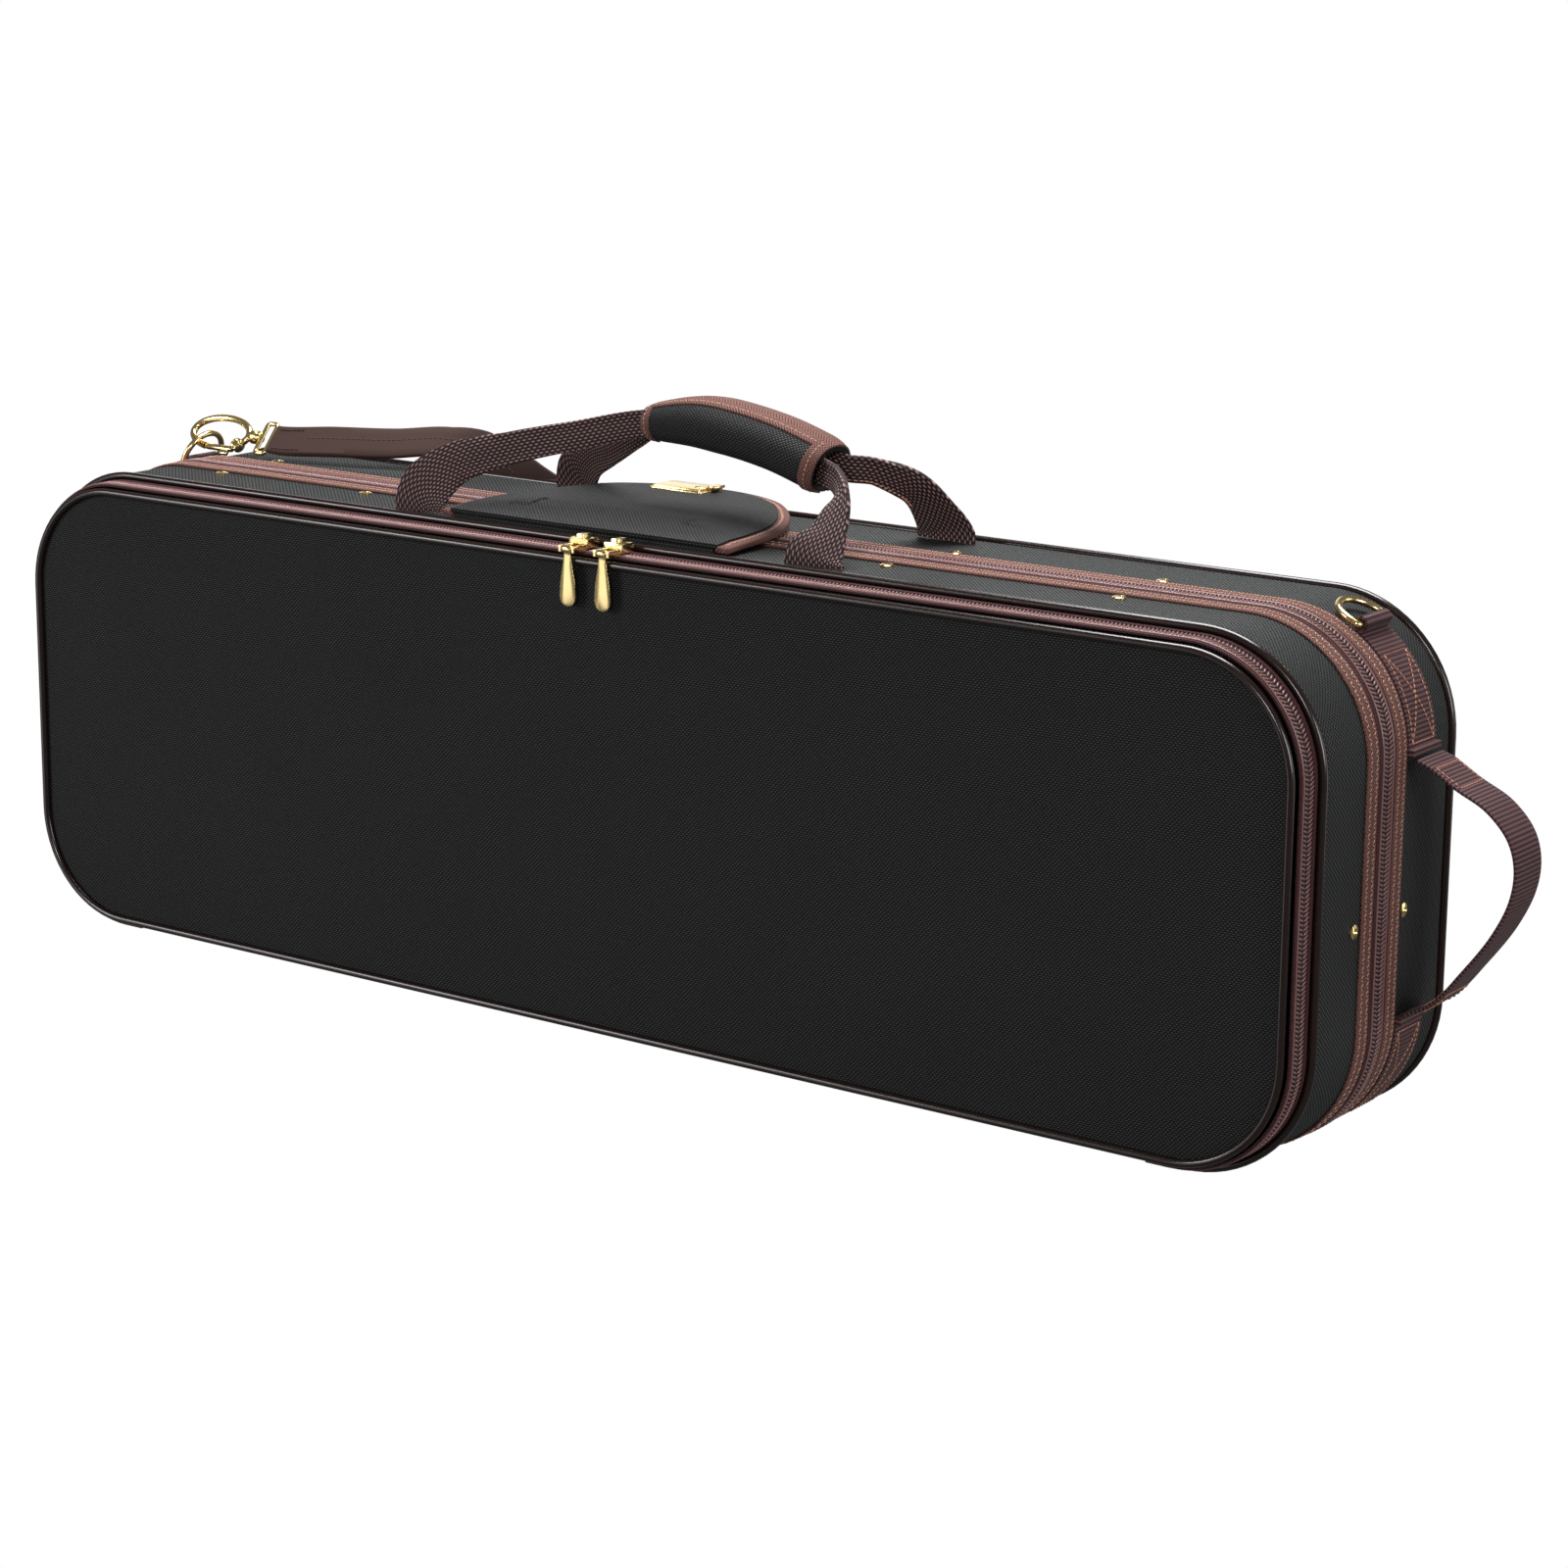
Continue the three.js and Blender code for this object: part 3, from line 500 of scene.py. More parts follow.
PLUSH = Cloth("wine_plush", "plush", Weave.PLUSH, 1.0, (0.17, 0.022, 0.03), (0.06, 0.008, 0.012),
              relief=0.6, roughness=0.85, sheen=0.22)
PIPING = Gloss("piping_vinyl", "piping", (0.013, 0.0055, 0.0045), (0.005, 0.0025, 0.002), 0.17)
COIL = Gloss("zip_coil", "zip", (0.21, 0.105, 0.10), (0.09, 0.036, 0.036), 0.22)
# Near-black band under the coil teeth: painted shade in the gaps between the teeth.
COIL_GAP_SHADE = Gloss("zip_coil_gap_shade", "zip", (0.008, 0.003, 0.003), (0.004, 0.002, 0.002), 0.7)
GOLD = Gloss("gold_plate", "gold", (0.93, 0.74, 0.36), (0.80, 0.55, 0.20), 0.13, metallic=1.0)
STITCH_ORANGE = Gloss("orange_thread", "webbing", (0.62, 0.29, 0.17), (0.42, 0.16, 0.08), 0.6)
STITCH_PALE = Gloss("pale_thread", "woven_binding", (0.52, 0.30, 0.23), (0.35, 0.17, 0.12), 0.6)
STITCH_DARK = Gloss("dark_thread", "webbing", (0.05, 0.02, 0.02), (0.02, 0.01, 0.01), 0.6)


# ---- settling pieces --------------------------------------------------------------------


@dataclass(frozen=True)
class Bend:
    """Two bodies and two points in millimetres that a piece lies between; the piece is left
    unattached where it is made.
    """

    first: str
    second: str
    start: tuple[float, float, float]
    end: tuple[float, float, float]


def settle(obj: bpy.types.Object, name: str, finish: Finish, rides: str | Bend,
           replaces: Sequence[str] = (), smooth: float = 38.0,
           lining: Optional[Finish] = None) -> bpy.types.Object:
    """Finishes a piece: metres, smooth shading, material, slot and body.

    Args:
        obj: The piece, modelled in millimetres.
        name: Its name.
        finish: What it is made of.
        rides: The body it moves with, or a Bend, which leaves it unattached where it is made.
        replaces: The frame's nodes that it stands for.
        smooth: Edges sharper than this many degrees stay sharp.
        lining: What its second material slot is made of, if it has one.

    Returns:
        The finished piece.
    """
    obj.name = name
    obj.data.name = name
    obj.data.transform(Matrix.Scale(MM, 4))
    slots = obj.data.materials
    while len(slots) > (2 if lining else 1):
        slots.pop()
    for index, made_of in enumerate((finish, lining)):
        if made_of and index < len(slots):
            slots[index] = made_of.material()
        elif made_of:
            slots.append(made_of.material())
    focus(obj)
    bpy.ops.object.shade_smooth_by_angle(angle=math.radians(smooth))
    if isinstance(rides, Bend):
        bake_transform(obj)
    else:
        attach(obj, rides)
    if replaces:
        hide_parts(*replaces)
    LOG.info("%s: %d faces", name, len(obj.data.polygons))
    return obj


def joined(objs: Sequence[bpy.types.Object]) -> bpy.types.Object:
    """Joins objects into the first."""
    deselect_all()
    for obj in objs:
        obj.select_set(True)
    bpy.context.view_layer.objects.active = objs[0]
    bpy.ops.object.join()
    return objs[0]


def repeated(template: bpy.types.Object, places: Sequence[Matrix], name: str) -> bpy.types.Object:
    """Copies a small modelled shape to many places, as one mesh, and removes the shape.

    Args:
        template: The shape, in millimetres about the origin.
        places: Where each copy goes.
        name: The new mesh's name.

    Returns:
        The object that holds every copy.
    """
    base = np.array([(*v.co, 1.0) for v in template.data.vertices])
    shape = [list(p.vertices) for p in template.data.polygons]
    points = np.concatenate([base @ np.array(m).T for m in places])[:, :3]
    faces = [[i + k * len(base) for i in face] for k in range(len(places)) for face in shape]
    bpy.data.objects.remove(template)
    return mesh_object(name, points, faces)


def basis(at: Sequence[float], along: Sequence[float], up: Sequence[float]) -> Matrix:
    """A placing matrix: X along one direction, Z near another."""
    x = Vector(along).normalized()
    y = Vector(up).cross(x).normalized()
    z = x.cross(y)
    m = Matrix((x, y, z)).transposed().to_4x4()
    m.translation = Vector(at)
    return m


def turned(place: Matrix, turn: Sequence[float], k: int) -> Matrix:
    """A place turned about its own Z, by the k-th of some degrees in rotation."""
    return place @ Matrix.Rotation(math.radians(turn[k % len(turn)]), 4, "Z")


def bead(long: float, thick: float) -> bpy.types.Object:
    """A short rounded bead along X at the origin, as one stitch or zip tooth."""
    obj = added(bpy.ops.mesh.primitive_uv_sphere_add, segments=6, ring_count=4, radius=0.5)
    edit(obj)
    take_all()
    stretch((long, thick, thick))
    leave()
    return obj


# ---- rounded outlines round the case ----------------------------------------------------


def underneath(at: Vector, half: float) -> bool:
    """Whether a point lies under the case, within half a length of its middle."""
    return at.z < LOW_Z + CORNER / 2 and abs(at.x) < half


def outline_wire(offset: float, y: float, keep_face: bool = False) -> bpy.types.Object:
    """The case outline at a depth, as a wire or a panel.

    Args:
        offset: How far outside the shell it runs.
        y: Its depth.
        keep_face: Whether to keep the panel inside it.

    Returns:
        The object.
    """
    obj = added(bpy.ops.mesh.primitive_plane_add,
                size=1, rotation=(math.pi / 2, 0, 0), location=(0, y, MID_Z))
    apply_placing()
    edit(obj)
    take_all()
    stretch((LENGTH + 2 * offset, 1, HEIGHT + 2 * offset), (0, y, MID_Z))
    bpy.ops.mesh.bevel(offset=CORNER + offset, segments=ARC_CUTS, affect="VERTICES")
    if not keep_face:
        drop_face()
    leave()
    return obj


def wired(obj: bpy.types.Object, radius: float, closed: bool = True) -> bpy.types.Object:
    """Turns a line of edges into round wire, with caps on its ends if it is open."""
    focus(obj)
    bpy.ops.object.convert(target="CURVE")
    curve = bpy.context.object
    curve.data.bevel_depth = radius
    curve.data.bevel_resolution = 3
    if not closed:
        curve.data.use_fill_caps = True
    bpy.ops.object.convert(target="MESH")
    made = bpy.context.object
    if closed:
        faces_out(made)
    return made


def piping_bead(offset: float, y: float, radius: float) -> bpy.types.Object:
    """A round bead that follows the case outline."""
    return wired(outline_wire(offset, y), radius)


def side_band(offset: float, thick: float, y0: float, y1: float,
              open_half: float = 0.0) -> bpy.types.Object:
    """A band of tape round the case's side.

    Args:
        offset: Its outer face's distance outside the shell.
        thick: Its thickness, inwards.
        y0: Its front edge.
        y1: Its back edge.
        open_half: Half the length left out along the hinge, or 0 for a closed band.

    Returns:
        The band.
    """
    obj = outline_wire(offset, y0)
    edit(obj)
    bpy.ops.mesh.select_mode(type="EDGE")
    take_all()
    bpy.ops.mesh.extrude_edges_move(TRANSFORM_OT_translate={"value": (0, y1 - y0, 0)})
    if open_half:
        for side in (1, -1):
            choose(obj, Pick.FACES, lambda mid, face: underneath(mid, CORNER_X))
            bpy.ops.mesh.bisect(plane_co=(side * open_half, 0, 0), plane_no=(1, 0, 0))
        choose(obj, Pick.FACES, lambda mid, face: underneath(mid, open_half - 1))
        bpy.ops.mesh.delete(type="FACE")
    take_all()
    bpy.ops.mesh.normals_make_consistent(inside=False)
    leave()
    modify(obj, "SOLIDIFY", thickness=thick, offset=-1.0)
    return obj


def side_places(offset: float, y: float, pitch: float, open_half: float = 0.0,
                turn: Sequence[float] = (0.0,)) -> list[Matrix]:
    """Places at even steps round the case's side, X along the outline and Z outwards.

    Args:
        offset: Distance outside the shell.
        y: Depth.
        pitch: Step between places.
        open_half: Half the length left out along the hinge.
        turn: Degrees that each place turns about its outward direction, in rotation.

    Returns:
        The placing matrices.
    """
    r = CORNER + offset
    line: list[tuple[float, float, float, float]] = []
    for cx, cz, start in ((CORNER_X, CORNER_UP, 90), (CORNER_X, -CORNER_UP, 0),
                          (-CORNER_X, -CORNER_UP, -90), (-CORNER_X, CORNER_UP, 180)):
        for k in range(ARC_CUTS * 2 + 1):
            a = math.radians(start - 90.0 * k / (ARC_CUTS * 2))
            line.append((cx + r * math.cos(a), cz + r * math.sin(a), math.cos(a), math.sin(a)))
    line.append(line[0])
    data = np.array(line)
    steps = np.concatenate([[0], np.cumsum(np.hypot(*np.diff(data[:, :2], axis=0).T))])
    count = int(steps[-1] / pitch)
    places = []
    for k in range(count):
        at = steps[-1] * (k + 0.5) / count
        x, z, nx, nz = (float(np.interp(at, steps, data[:, i])) for i in range(4))
        if open_half and z < -CORNER_UP - CORNER / 2 and abs(x) < open_half:
            continue
        m = basis((x, y, MID_Z + z), (nz, 0, -nx), (nx, 0, nz))
        places.append(turned(m, turn, k))
    return places


# ---- straps -----------------------------------------------------------------------------


@dataclass(frozen=True)
class Stop:
    """A point that a strap passes through: its middle, which way it faces, width, thickness."""

    at: tuple[float, float, float]
    face: tuple[float, float, float]
    width: float
    thick: float = 1.8


class Strap:
    """A strap along a smooth path through stops."""

    def __init__(self, stops: Sequence[Stop], steps: int) -> None:
        """Samples the path evenly.

        Args:
            stops: The stops in order.
            steps: How many lengths the path is cut into.
        """
        knots = np.array([s.at for s in stops], float)
        ends = np.vstack([2 * knots[0] - knots[1], knots, 2 * knots[-1] - knots[-2]])
        fine, where = [], []
        for i in range(len(knots) - 1):
            p = ends[i:i + 4]
            dt = [max(np.linalg.norm(p[k + 1] - p[k]) ** 0.5, 1e-4) for k in range(3)]
            t1 = (p[1] - p[0]) / dt[0] - (p[2] - p[0]) / (dt[0] + dt[1]) + (p[2] - p[1]) / dt[1]
            t2 = (p[2] - p[1]) / dt[1] - (p[3] - p[1]) / (dt[1] + dt[2]) + (p[3] - p[2]) / dt[2]
            t1, t2 = t1 * dt[1], t2 * dt[1]
            for w in np.linspace(0, 1, 24, endpoint=i == len(knots) - 2):
                fine.append(p[1] + t1 * w + (-3 * p[1] + 3 * p[2] - 2 * t1 - t2) * w ** 2
                            + (2 * p[1] - 2 * p[2] + t1 + t2) * w ** 3)
                where.append(i + w)
        fine = np.array(fine)
        run = np.concatenate([[0], np.cumsum(np.linalg.norm(np.diff(fine, axis=0), axis=1))])
        self.length = float(run[-1])
        even = np.linspace(0, self.length, steps + 1)
        self.run = even
        self.points = np.column_stack([np.interp(even, run, fine[:, k]) for k in range(3)])
        at = np.interp(even, run, where)
        number = np.arange(len(stops))
        face = np.column_stack([np.interp(at, number, [s.face[k] for s in stops])
                                for k in range(3)])
        self.width = np.interp(at, number, [s.width for s in stops])
        self.thick = np.interp(at, number, [s.thick for s in stops])
        tangent = np.gradient(self.points, axis=0)
        self.tangent = tangent / np.linalg.norm(tangent, axis=1)[:, None]
        side = np.cross(self.tangent, face)
        self.side = side / np.linalg.norm(side, axis=1)[:, None]
        self.up = np.cross(self.side, self.tangent)

    def band(self, name: str, edge: float = 0.5, crown: float = 0.0) -> bpy.types.Object:
        """The strap's closed mesh.

        Args:
            name: The object's name.
            edge: How round its edges are, as a share of half its thickness.
            crown: How far its middle swells beyond its thickness.

        Returns:
            The object.
        """
        ring = []
        for u, v in ((-1, 0), (-0.985, 0.75), (-0.9, 1), (-0.45, 1), (0, 1), (0.45, 1), (0.9, 1),
                     (0.985, 0.75), (1, 0), (0.985, -0.75), (0.9, -1), (0.45, -1), (0, -1),
                     (-0.45, -1), (-0.9, -1), (-0.985, -0.75)):
            ring.append((u, v * (1 - edge * max(0.0, abs(u) - 0.9) * 3), 1 - u * u))
        points, uvs = [], []
        for k, middle in enumerate(self.points):
            for u, v, swell in ring:
                lift = v * (self.thick[k] / 2 + crown * swell)
                points.append(middle + self.side[k] * u * self.width[k] / 2 + self.up[k] * lift)
                uvs.append((self.run[k], u * self.width[k] / 2))
        n, rows = len(ring), len(self.points)
        faces = [[r * n + i, r * n + (i + 1) % n, (r + 1) * n + (i + 1) % n, (r + 1) * n + i]
                 for r in range(rows - 1) for i in range(n)]
        faces += [list(range(n))[::-1], [(rows - 1) * n + i for i in range(n)]]
        obj = mesh_object(name, np.array(points), faces, np.array(uvs))
        even_normals(obj)
        return obj

    def places(self, across: float, out: float, pitch: float, start: float = 0.0,
               end: Optional[float] = None, turn: Sequence[float] = (0.0,)) -> list[Matrix]:
        """Even places for stitches on the strap.

        Args:
            across: Place across the width, from -1 to 1.
            out: Side and height: the sign picks the face, the size lifts off it.
            pitch: Step between places.
            start: Where the row starts along the strap.
            end: Where it ends, or None for the strap's end.
            turn: Degrees that each place turns on the face, in rotation.

        Returns:
            The placing matrices.
        """
        end = self.length if end is None else end
        sign = 1 if out >= 0 else -1
        found = []
        for k in range(int((end - start) / pitch)):
            at = start + (k + 0.5) * pitch
            pick = [np.array([np.interp(at, self.run, v[:, i]) for i in range(3)])
                    for v in (self.points, self.tangent, self.side, self.up)]
            wide, thick = np.interp(at, self.run, self.width), np.interp(at, self.run, self.thick)
            here = pick[0] + pick[2] * across * wide / 2 + pick[3] * (sign * thick / 2 + out)
            m = basis(here, pick[1], pick[3] * sign)
            found.append(turned(m, turn, k))
        return found

    def row_across(self, steps: Sequence[float], out: float, at: float) -> list[Matrix]:
        """Places for one row of stitches across the strap, a distance along it."""
        places = []
        for across in steps:
            one = self.places(across, out, 1.0, at - 0.5, at + 0.5)
            places += [m @ Matrix.Rotation(math.pi / 2, 4, "Z") for m in one]
        return places


def stitches(places: Sequence[Matrix], name: str, finish: Finish, rides: str | Bend,
             long: float = 2.6, thick: float = 0.7) -> bpy.types.Object:
    """A row of stitches as one piece."""
    obj = repeated(bead(long, thick), places, name)
    return settle(obj, name, finish, rides, smooth=60)


def node_copy(node: str, suffix: str) -> bpy.types.Object:
    """A copy of a frame node's shape in millimetres, with its doubles merged."""
    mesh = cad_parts[node].data.copy()
    mesh.transform(Matrix.Scale(1 / MM, 4))
    obj = bpy.data.objects.new(f"{node}_{suffix}", mesh)
    bpy.context.scene.collection.objects.link(obj)
    edit(obj)
    take_all()
    bpy.ops.mesh.remove_doubles(threshold=NODE_MERGE)
    leave()
    return obj


def softened(node: str, edge: float, cuts: int = 2) -> bpy.types.Object:
    """A copy of a frame node's shape in millimetres, merged and with its edges rounded.

    Args:
        node: The frame's node.
        edge: The rounding's size.
        cuts: The rounding's segments.

    Returns:
        The copy.
    """
    obj = node_copy(node, "soft")
    edit(obj)
    take_all()
    bpy.ops.mesh.dissolve_limited(angle_limit=math.radians(2))
    leave()
    modify(obj, "BEVEL", width=edge, segments=cuts, limit_method="ANGLE",
           angle_limit=math.radians(32), use_clamp_overlap=True)
    return obj


def plushed(node: str, voxel: float, rounds: int) -> bpy.types.Object:
    """A frame node's shape as soft foam: fine even faces with every edge rounded off.

    Args:
        node: The frame's node.
        voxel: The size of its faces.
        rounds: How many times it is smoothed.

    Returns:
        The foam.
    """
    obj = node_copy(node, "foam")
    modify(obj, "REMESH", mode="VOXEL", voxel_size=voxel)
    modify(obj, "SMOOTH", factor=0.5, iterations=rounds)
    return obj


# ---- shells -----------------------------------------------------------------------------


def inside_by(x: float, z: float, offset: float = 0.0) -> float:
    """How far a point lies inside the case outline, when that is moved by an offset."""
    cx, cz = min(abs(x), CORNER_X), min(abs(z - MID_Z), CORNER_UP)
    return CORNER + offset - math.hypot(abs(x) - cx, abs(z - MID_Z) - cz)


def crown_panel(obj: bpy.types.Object, y: float, height: float, reach: float,
                offset: float = 0.0) -> None:
    """Swells a flat panel outwards, less towards its edge.

    Args:
        obj: The object that holds the panel.
        y: The panel's depth.
        height: How far its middle moves along Y.
        reach: How far in from the edge the swelling levels off.
        offset: The panel outline's offset from the case outline.
    """
    for point in obj.data.vertices:
        if abs(point.co.y - y) < 0.05:
            share = min(max(inside_by(point.co.x, point.co.z, offset) / reach, 0.0), 1.0)
            point.co.y += height * (1 - (1 - share) ** 2)


@dataclass
class Shell:
    """One padded half of the case, covered in cloth and lined with plush."""

    name: str
    body: str
    panel_y: float
    rim_y: float
    crown: float
    wall: float = 6.0
    pipe_y: float = 0.0
    round_edge: float = 2.5

    def build(self) -> None:
        """Makes the half shell and its piping."""
        self.tray()
        self.piping()

    def tray(self) -> None:
        """A rounded panel with its side walls drawn out to the rim, given its thickness."""
        obj = outline_wire(0.0, self.panel_y, keep_face=True)
        edit(obj)
        choose(obj, Pick.EDGES, lambda mid, edge: True)
        bpy.ops.mesh.extrude_edges_move(
            TRANSFORM_OT_translate={"value": (0, self.rim_y - self.panel_y, 0)})
        choose(obj, Pick.EDGES, lambda mid, edge: abs(mid.y - self.panel_y) < 0.01)
        bpy.ops.mesh.bevel(offset=self.round_edge, segments=4, affect="EDGES")
        choose(obj, Pick.FACES, lambda mid, face: abs(mid.y - self.panel_y) < 0.01)
        for step in SHELL_INSETS:
            bpy.ops.mesh.inset(thickness=step)
        leave()
        crown_panel(obj, self.panel_y, self.crown, 46.0, -self.round_edge)
        faces_out(obj)
        self.open_outwards(obj)
        thicken(obj, self.wall)
        lay_cloth(obj)
        settle(obj, f"{self.name}_cloth", SIDE_NYLON, self.body, [f"{self.name}_shell"],
               lining=PLUSH)

    def open_outwards(self, obj: bpy.types.Object) -> None:
        """Turns an open tray's faces away from its inside, if they face in."""
        face = max(obj.data.polygons, key=lambda p: p.center.z)
        if face.normal.z < 0:
            turn_over(obj)

    def piping(self) -> None:
        """The glossy bead round the panel's edge, on its sewn flange."""
        obj = piping_bead(PROUD - PIPE_RADIUS, self.pipe_y, PIPE_RADIUS)
        inward = 1 if self.rim_y > self.panel_y else -1
        flange = side_band(-0.5, 1.4, self.pipe_y, self.pipe_y + inward * PIPE_FLANGE)
        settle(joined([obj, flange]), f"{self.name}_bead", PIPING, self.body,
               [f"{self.name}_piping"])


# ---- the zip round the split --------------------------------------------------------------


@dataclass
class ZipRow:
    """One side of a zip: its tape and its row of coil teeth."""

    name: str
    body: str
    node: str
    seam_y: float
    way: int
    offset: float
    tape: float
    open_half: float = HINGE_HALF
    pitch: float = 2.15

    def build(self) -> None:
        """Makes the tape, the coil and the near-black band under the teeth that paints shade
        between them.
        """
        y0, y1 = sorted((self.seam_y + self.way * 0.2, self.seam_y + self.way * self.tape))
        tape = side_band(self.offset, 1.0, y0, y1, self.open_half)
        lay_cloth(tape)
        settle(tape, f"{self.name}_tape", ZIP_TAPE, self.body, [self.node])
        teeth = side_places(self.offset + 0.35, self.seam_y + self.way * 2.3, self.pitch,
                            self.open_half, (90 + 24 * self.way,))
        # Painted shade: a near-black band under the teeth darkens the gaps between them.
        gap_shade = side_band(self.offset + 0.12, 0.3, *sorted((self.seam_y + self.way * 0.1,
                                                          self.seam_y + self.way * 5.0)),
                        self.open_half)
        settle(gap_shade, f"{self.name}_bed", COIL_GAP_SHADE, self.body)
        row = repeated(bead(5.4, 1.25), teeth, "teeth")
        cord = piping_bead(self.offset + 0.3, self.seam_y + self.way * 4.9, 0.5)
        edit(cord)
        choose(cord, Pick.POINTS, lambda mid, point: mid.z < LOW_Z + CORNER / 3
               and abs(mid.x) < self.open_half + 14)
        bpy.ops.mesh.delete(type="VERT")
        leave()
        settle(joined([row, cord]), f"{self.name}_coil", COIL, self.body, smooth=70)


@dataclass
class EdgeTape:
    """A woven tape bound along the split, with its zigzag of stitches."""

    name: str
    body: str
    y0: float
    y1: float

    def build(self) -> None:
        """Makes the tape, its folded edge and its stitches."""
        band = side_band(1.3, 1.2, self.y0, self.y1, HINGE_HALF)
        modify(band, "BEVEL", width=0.5, segments=2, limit_method="ANGLE")
        lay_cloth(band)
        settle(band, f"{self.name}_edge_tape", BINDING, self.body, [f"{self.name}_binding"])
        middle = (self.y0 + self.y1) / 2
        places = []
        for y in (middle - 2.6, middle + 2.6):
            places += side_places(1.45, y, 2.1, HINGE_HALF, (52, -52))
        stitches(places, f"{self.name}_edge_stitches", STITCH_PALE, self.body, 2.6, 0.55)


@dataclass
class SplitSeam:
    """Everything along the line where lid and body meet."""

    zip_half: float = 7.8
    tape_edge: float = 19.0
    hinge_wide: float = 16.0

    def build(self) -> None:
        """Makes both zip rows, both edge tapes and the cloth hinge."""
        ZipRow("lid_zip", "lid", "lid_zip_tape", SPLIT, -1, 1.25, self.zip_half).build()
        ZipRow("body_zip", "body", "body_zip_tape", SPLIT, 1, 1.25, self.zip_half).build()
        EdgeTape("lid", "lid", SPLIT - self.tape_edge, SPLIT - self.zip_half - 0.3).build()
        EdgeTape("body", "body", SPLIT + self.zip_half + 0.3, SPLIT + self.tape_edge).build()
        self.hinge()

    def hinge(self) -> None:
        """The strip of cloth under the split, between lid and body."""
        obj = added(bpy.ops.mesh.primitive_grid_add,
                    x_subdivisions=40, y_subdivisions=26, size=1, location=(0, SPLIT, 0.05))
        apply_placing()
        edit(obj)
        take_all()
        stretch((2 * HINGE_HALF - 0.6, 2 * self.hinge_wide, 1), (0, SPLIT, 0.05))
        leave()
        modify(obj, "SOLIDIFY", thickness=1.4, offset=-1.0)
        if min(v.co.z for v in obj.data.vertices) < -0.1:
            obj.data.transform(Matrix.Translation((0, 0, 1.4)))
        lay_box(obj)
        settle(obj, "hinge_cloth", SIDE_NYLON,
               Bend("body", "lid", (0, SPLIT + 4, 0), (0, SPLIT - 4, 0)),
               ["lid_hinge_strip", "body_hinge_strip"])


# ---- front pocket -------------------------------------------------------------------------


@dataclass
class FrontPocket:
    """The flat pocket on the lid: cover, piping, zip and cloth hinge."""

    edge: float = -POCKET_INSET
    panel_y: float = POCKET_PIPE + 1.2
    panel_deep: float = 4.2
    seam_y: float = POCKET_PIPE + 9.4
    crown: float = 2.2

    def build(self) -> None:
        """Makes every piece of the pocket."""
        self.cover()
        self.piping()
        self.zip_rows()
        self.hinge()

    def cover(self) -> None:
        """The stretched cloth cover, crowned over its padding."""
        offset = self.edge + 0.6
        obj = outline_wire(offset, self.panel_y, keep_face=True)
        edit(obj)
        choose(obj, Pick.FACES, lambda mid, face: True)
        for step in COVER_INSETS:
            bpy.ops.mesh.inset(thickness=step)
        self.grid(offset)
        leave()
        crown_panel(obj, self.panel_y, -self.crown, 90.0, offset)
        self.tension(obj)
        even_normals(obj)
        if obj.data.polygons[0].normal.y > 0:
            turn_over(obj)
        thicken(obj, self.panel_deep)
        lay_cloth(obj)
        settle(obj, "pocket_cover_cloth", OXFORD, "pocket_cover", ["pocket_panel"],
               lining=SIDE_NYLON)

    def grid(self, offset: float) -> None:
        """Cuts the cover being edited into a grid, so that it can swell smoothly."""
        wide, high = LENGTH / 2 + offset, HEIGHT / 2 + offset
        for across, half, middle, pitch in ((0, wide, 0.0, 25.0), (2, high, MID_Z, 14.0)):
            for k in range(1, int(2 * half / pitch) + 1):
                at, way = [0.0, 0.0, 0.0], [0.0, 0.0, 0.0]
                at[across] = middle - half + 2 * half * k / (int(2 * half / pitch) + 1)
                way[across] = 1.0
                cut(plane_co=at, plane_no=way)

    def tension(self, obj: bpy.types.Object) -> None:
        """Slight waves where the cloth is pulled over its board."""
        for point in obj.data.vertices:
            depth = inside_by(point.co.x, point.co.z, self.edge)
            if 3 < depth:
                wave = math.sin(point.co.x / 61 + 1.3) * math.sin(point.co.z / 37 + 0.4)
                point.co.y += 0.22 * wave * min(depth / 30, 1)

    def piping(self) -> None:
        """The glossy bead round the cover."""
        bead_ring = piping_bead(self.edge, POCKET_PIPE, PIPE_RADIUS)
        flange = side_band(self.edge - 0.3, 1.5, POCKET_PIPE, POCKET_PIPE + 3.0)
        settle(joined([bead_ring, flange]), "pocket_bead", PIPING, "pocket_cover",
               ["pocket_piping"])

    def zip_rows(self) -> None:
        """The pocket's zip, with the tape on each side of its coil."""
        ZipRow("pocket_zip_outer", "pocket_cover", "pocket_zip_tape_cover", self.seam_y, -1,
               -3.3, 7.0).build()
        ZipRow("pocket_zip_inner", "lid", "pocket_zip_tape_lid", self.seam_y, 1, -3.3, 6.4).build()
        base = side_band(-2.2, 2.4, self.seam_y + 4.3, LID_PIPE - 1.0, HINGE_HALF)
        modify(base, "BEVEL", width=0.6, segments=2, limit_method="ANGLE")
        lay_cloth(base)
        settle(base, "pocket_base_tape", ZIP_TAPE, "lid")

    def hinge(self) -> None:
        """The strip of cloth under the pocket, between lid and cover."""
        half = HINGE_HALF - 4
        stops = [Stop((0, LID_PIPE - 0.5, 2.4), (0, 0, -1), 2 * half, 1.2),
                 Stop((0, self.seam_y, 4.4), (0, -0.2, -1), 2 * half, 1.2),
                 Stop((0, POCKET_PIPE + 2.0, 6.6), (0, -0.3, -1), 2 * half, 1.2)]
        obj = Strap(stops, 20).band("pocket_hinge")
        lay_box(obj)
        settle(obj, "pocket_hinge_cloth", SIDE_NYLON,
               Bend("lid", "pocket_cover", (0, self.seam_y + 3, 4), (0, self.seam_y - 5, 4)),
               ["pocket_hinge_strip"])


# ---- metal pieces -------------------------------------------------------------------------


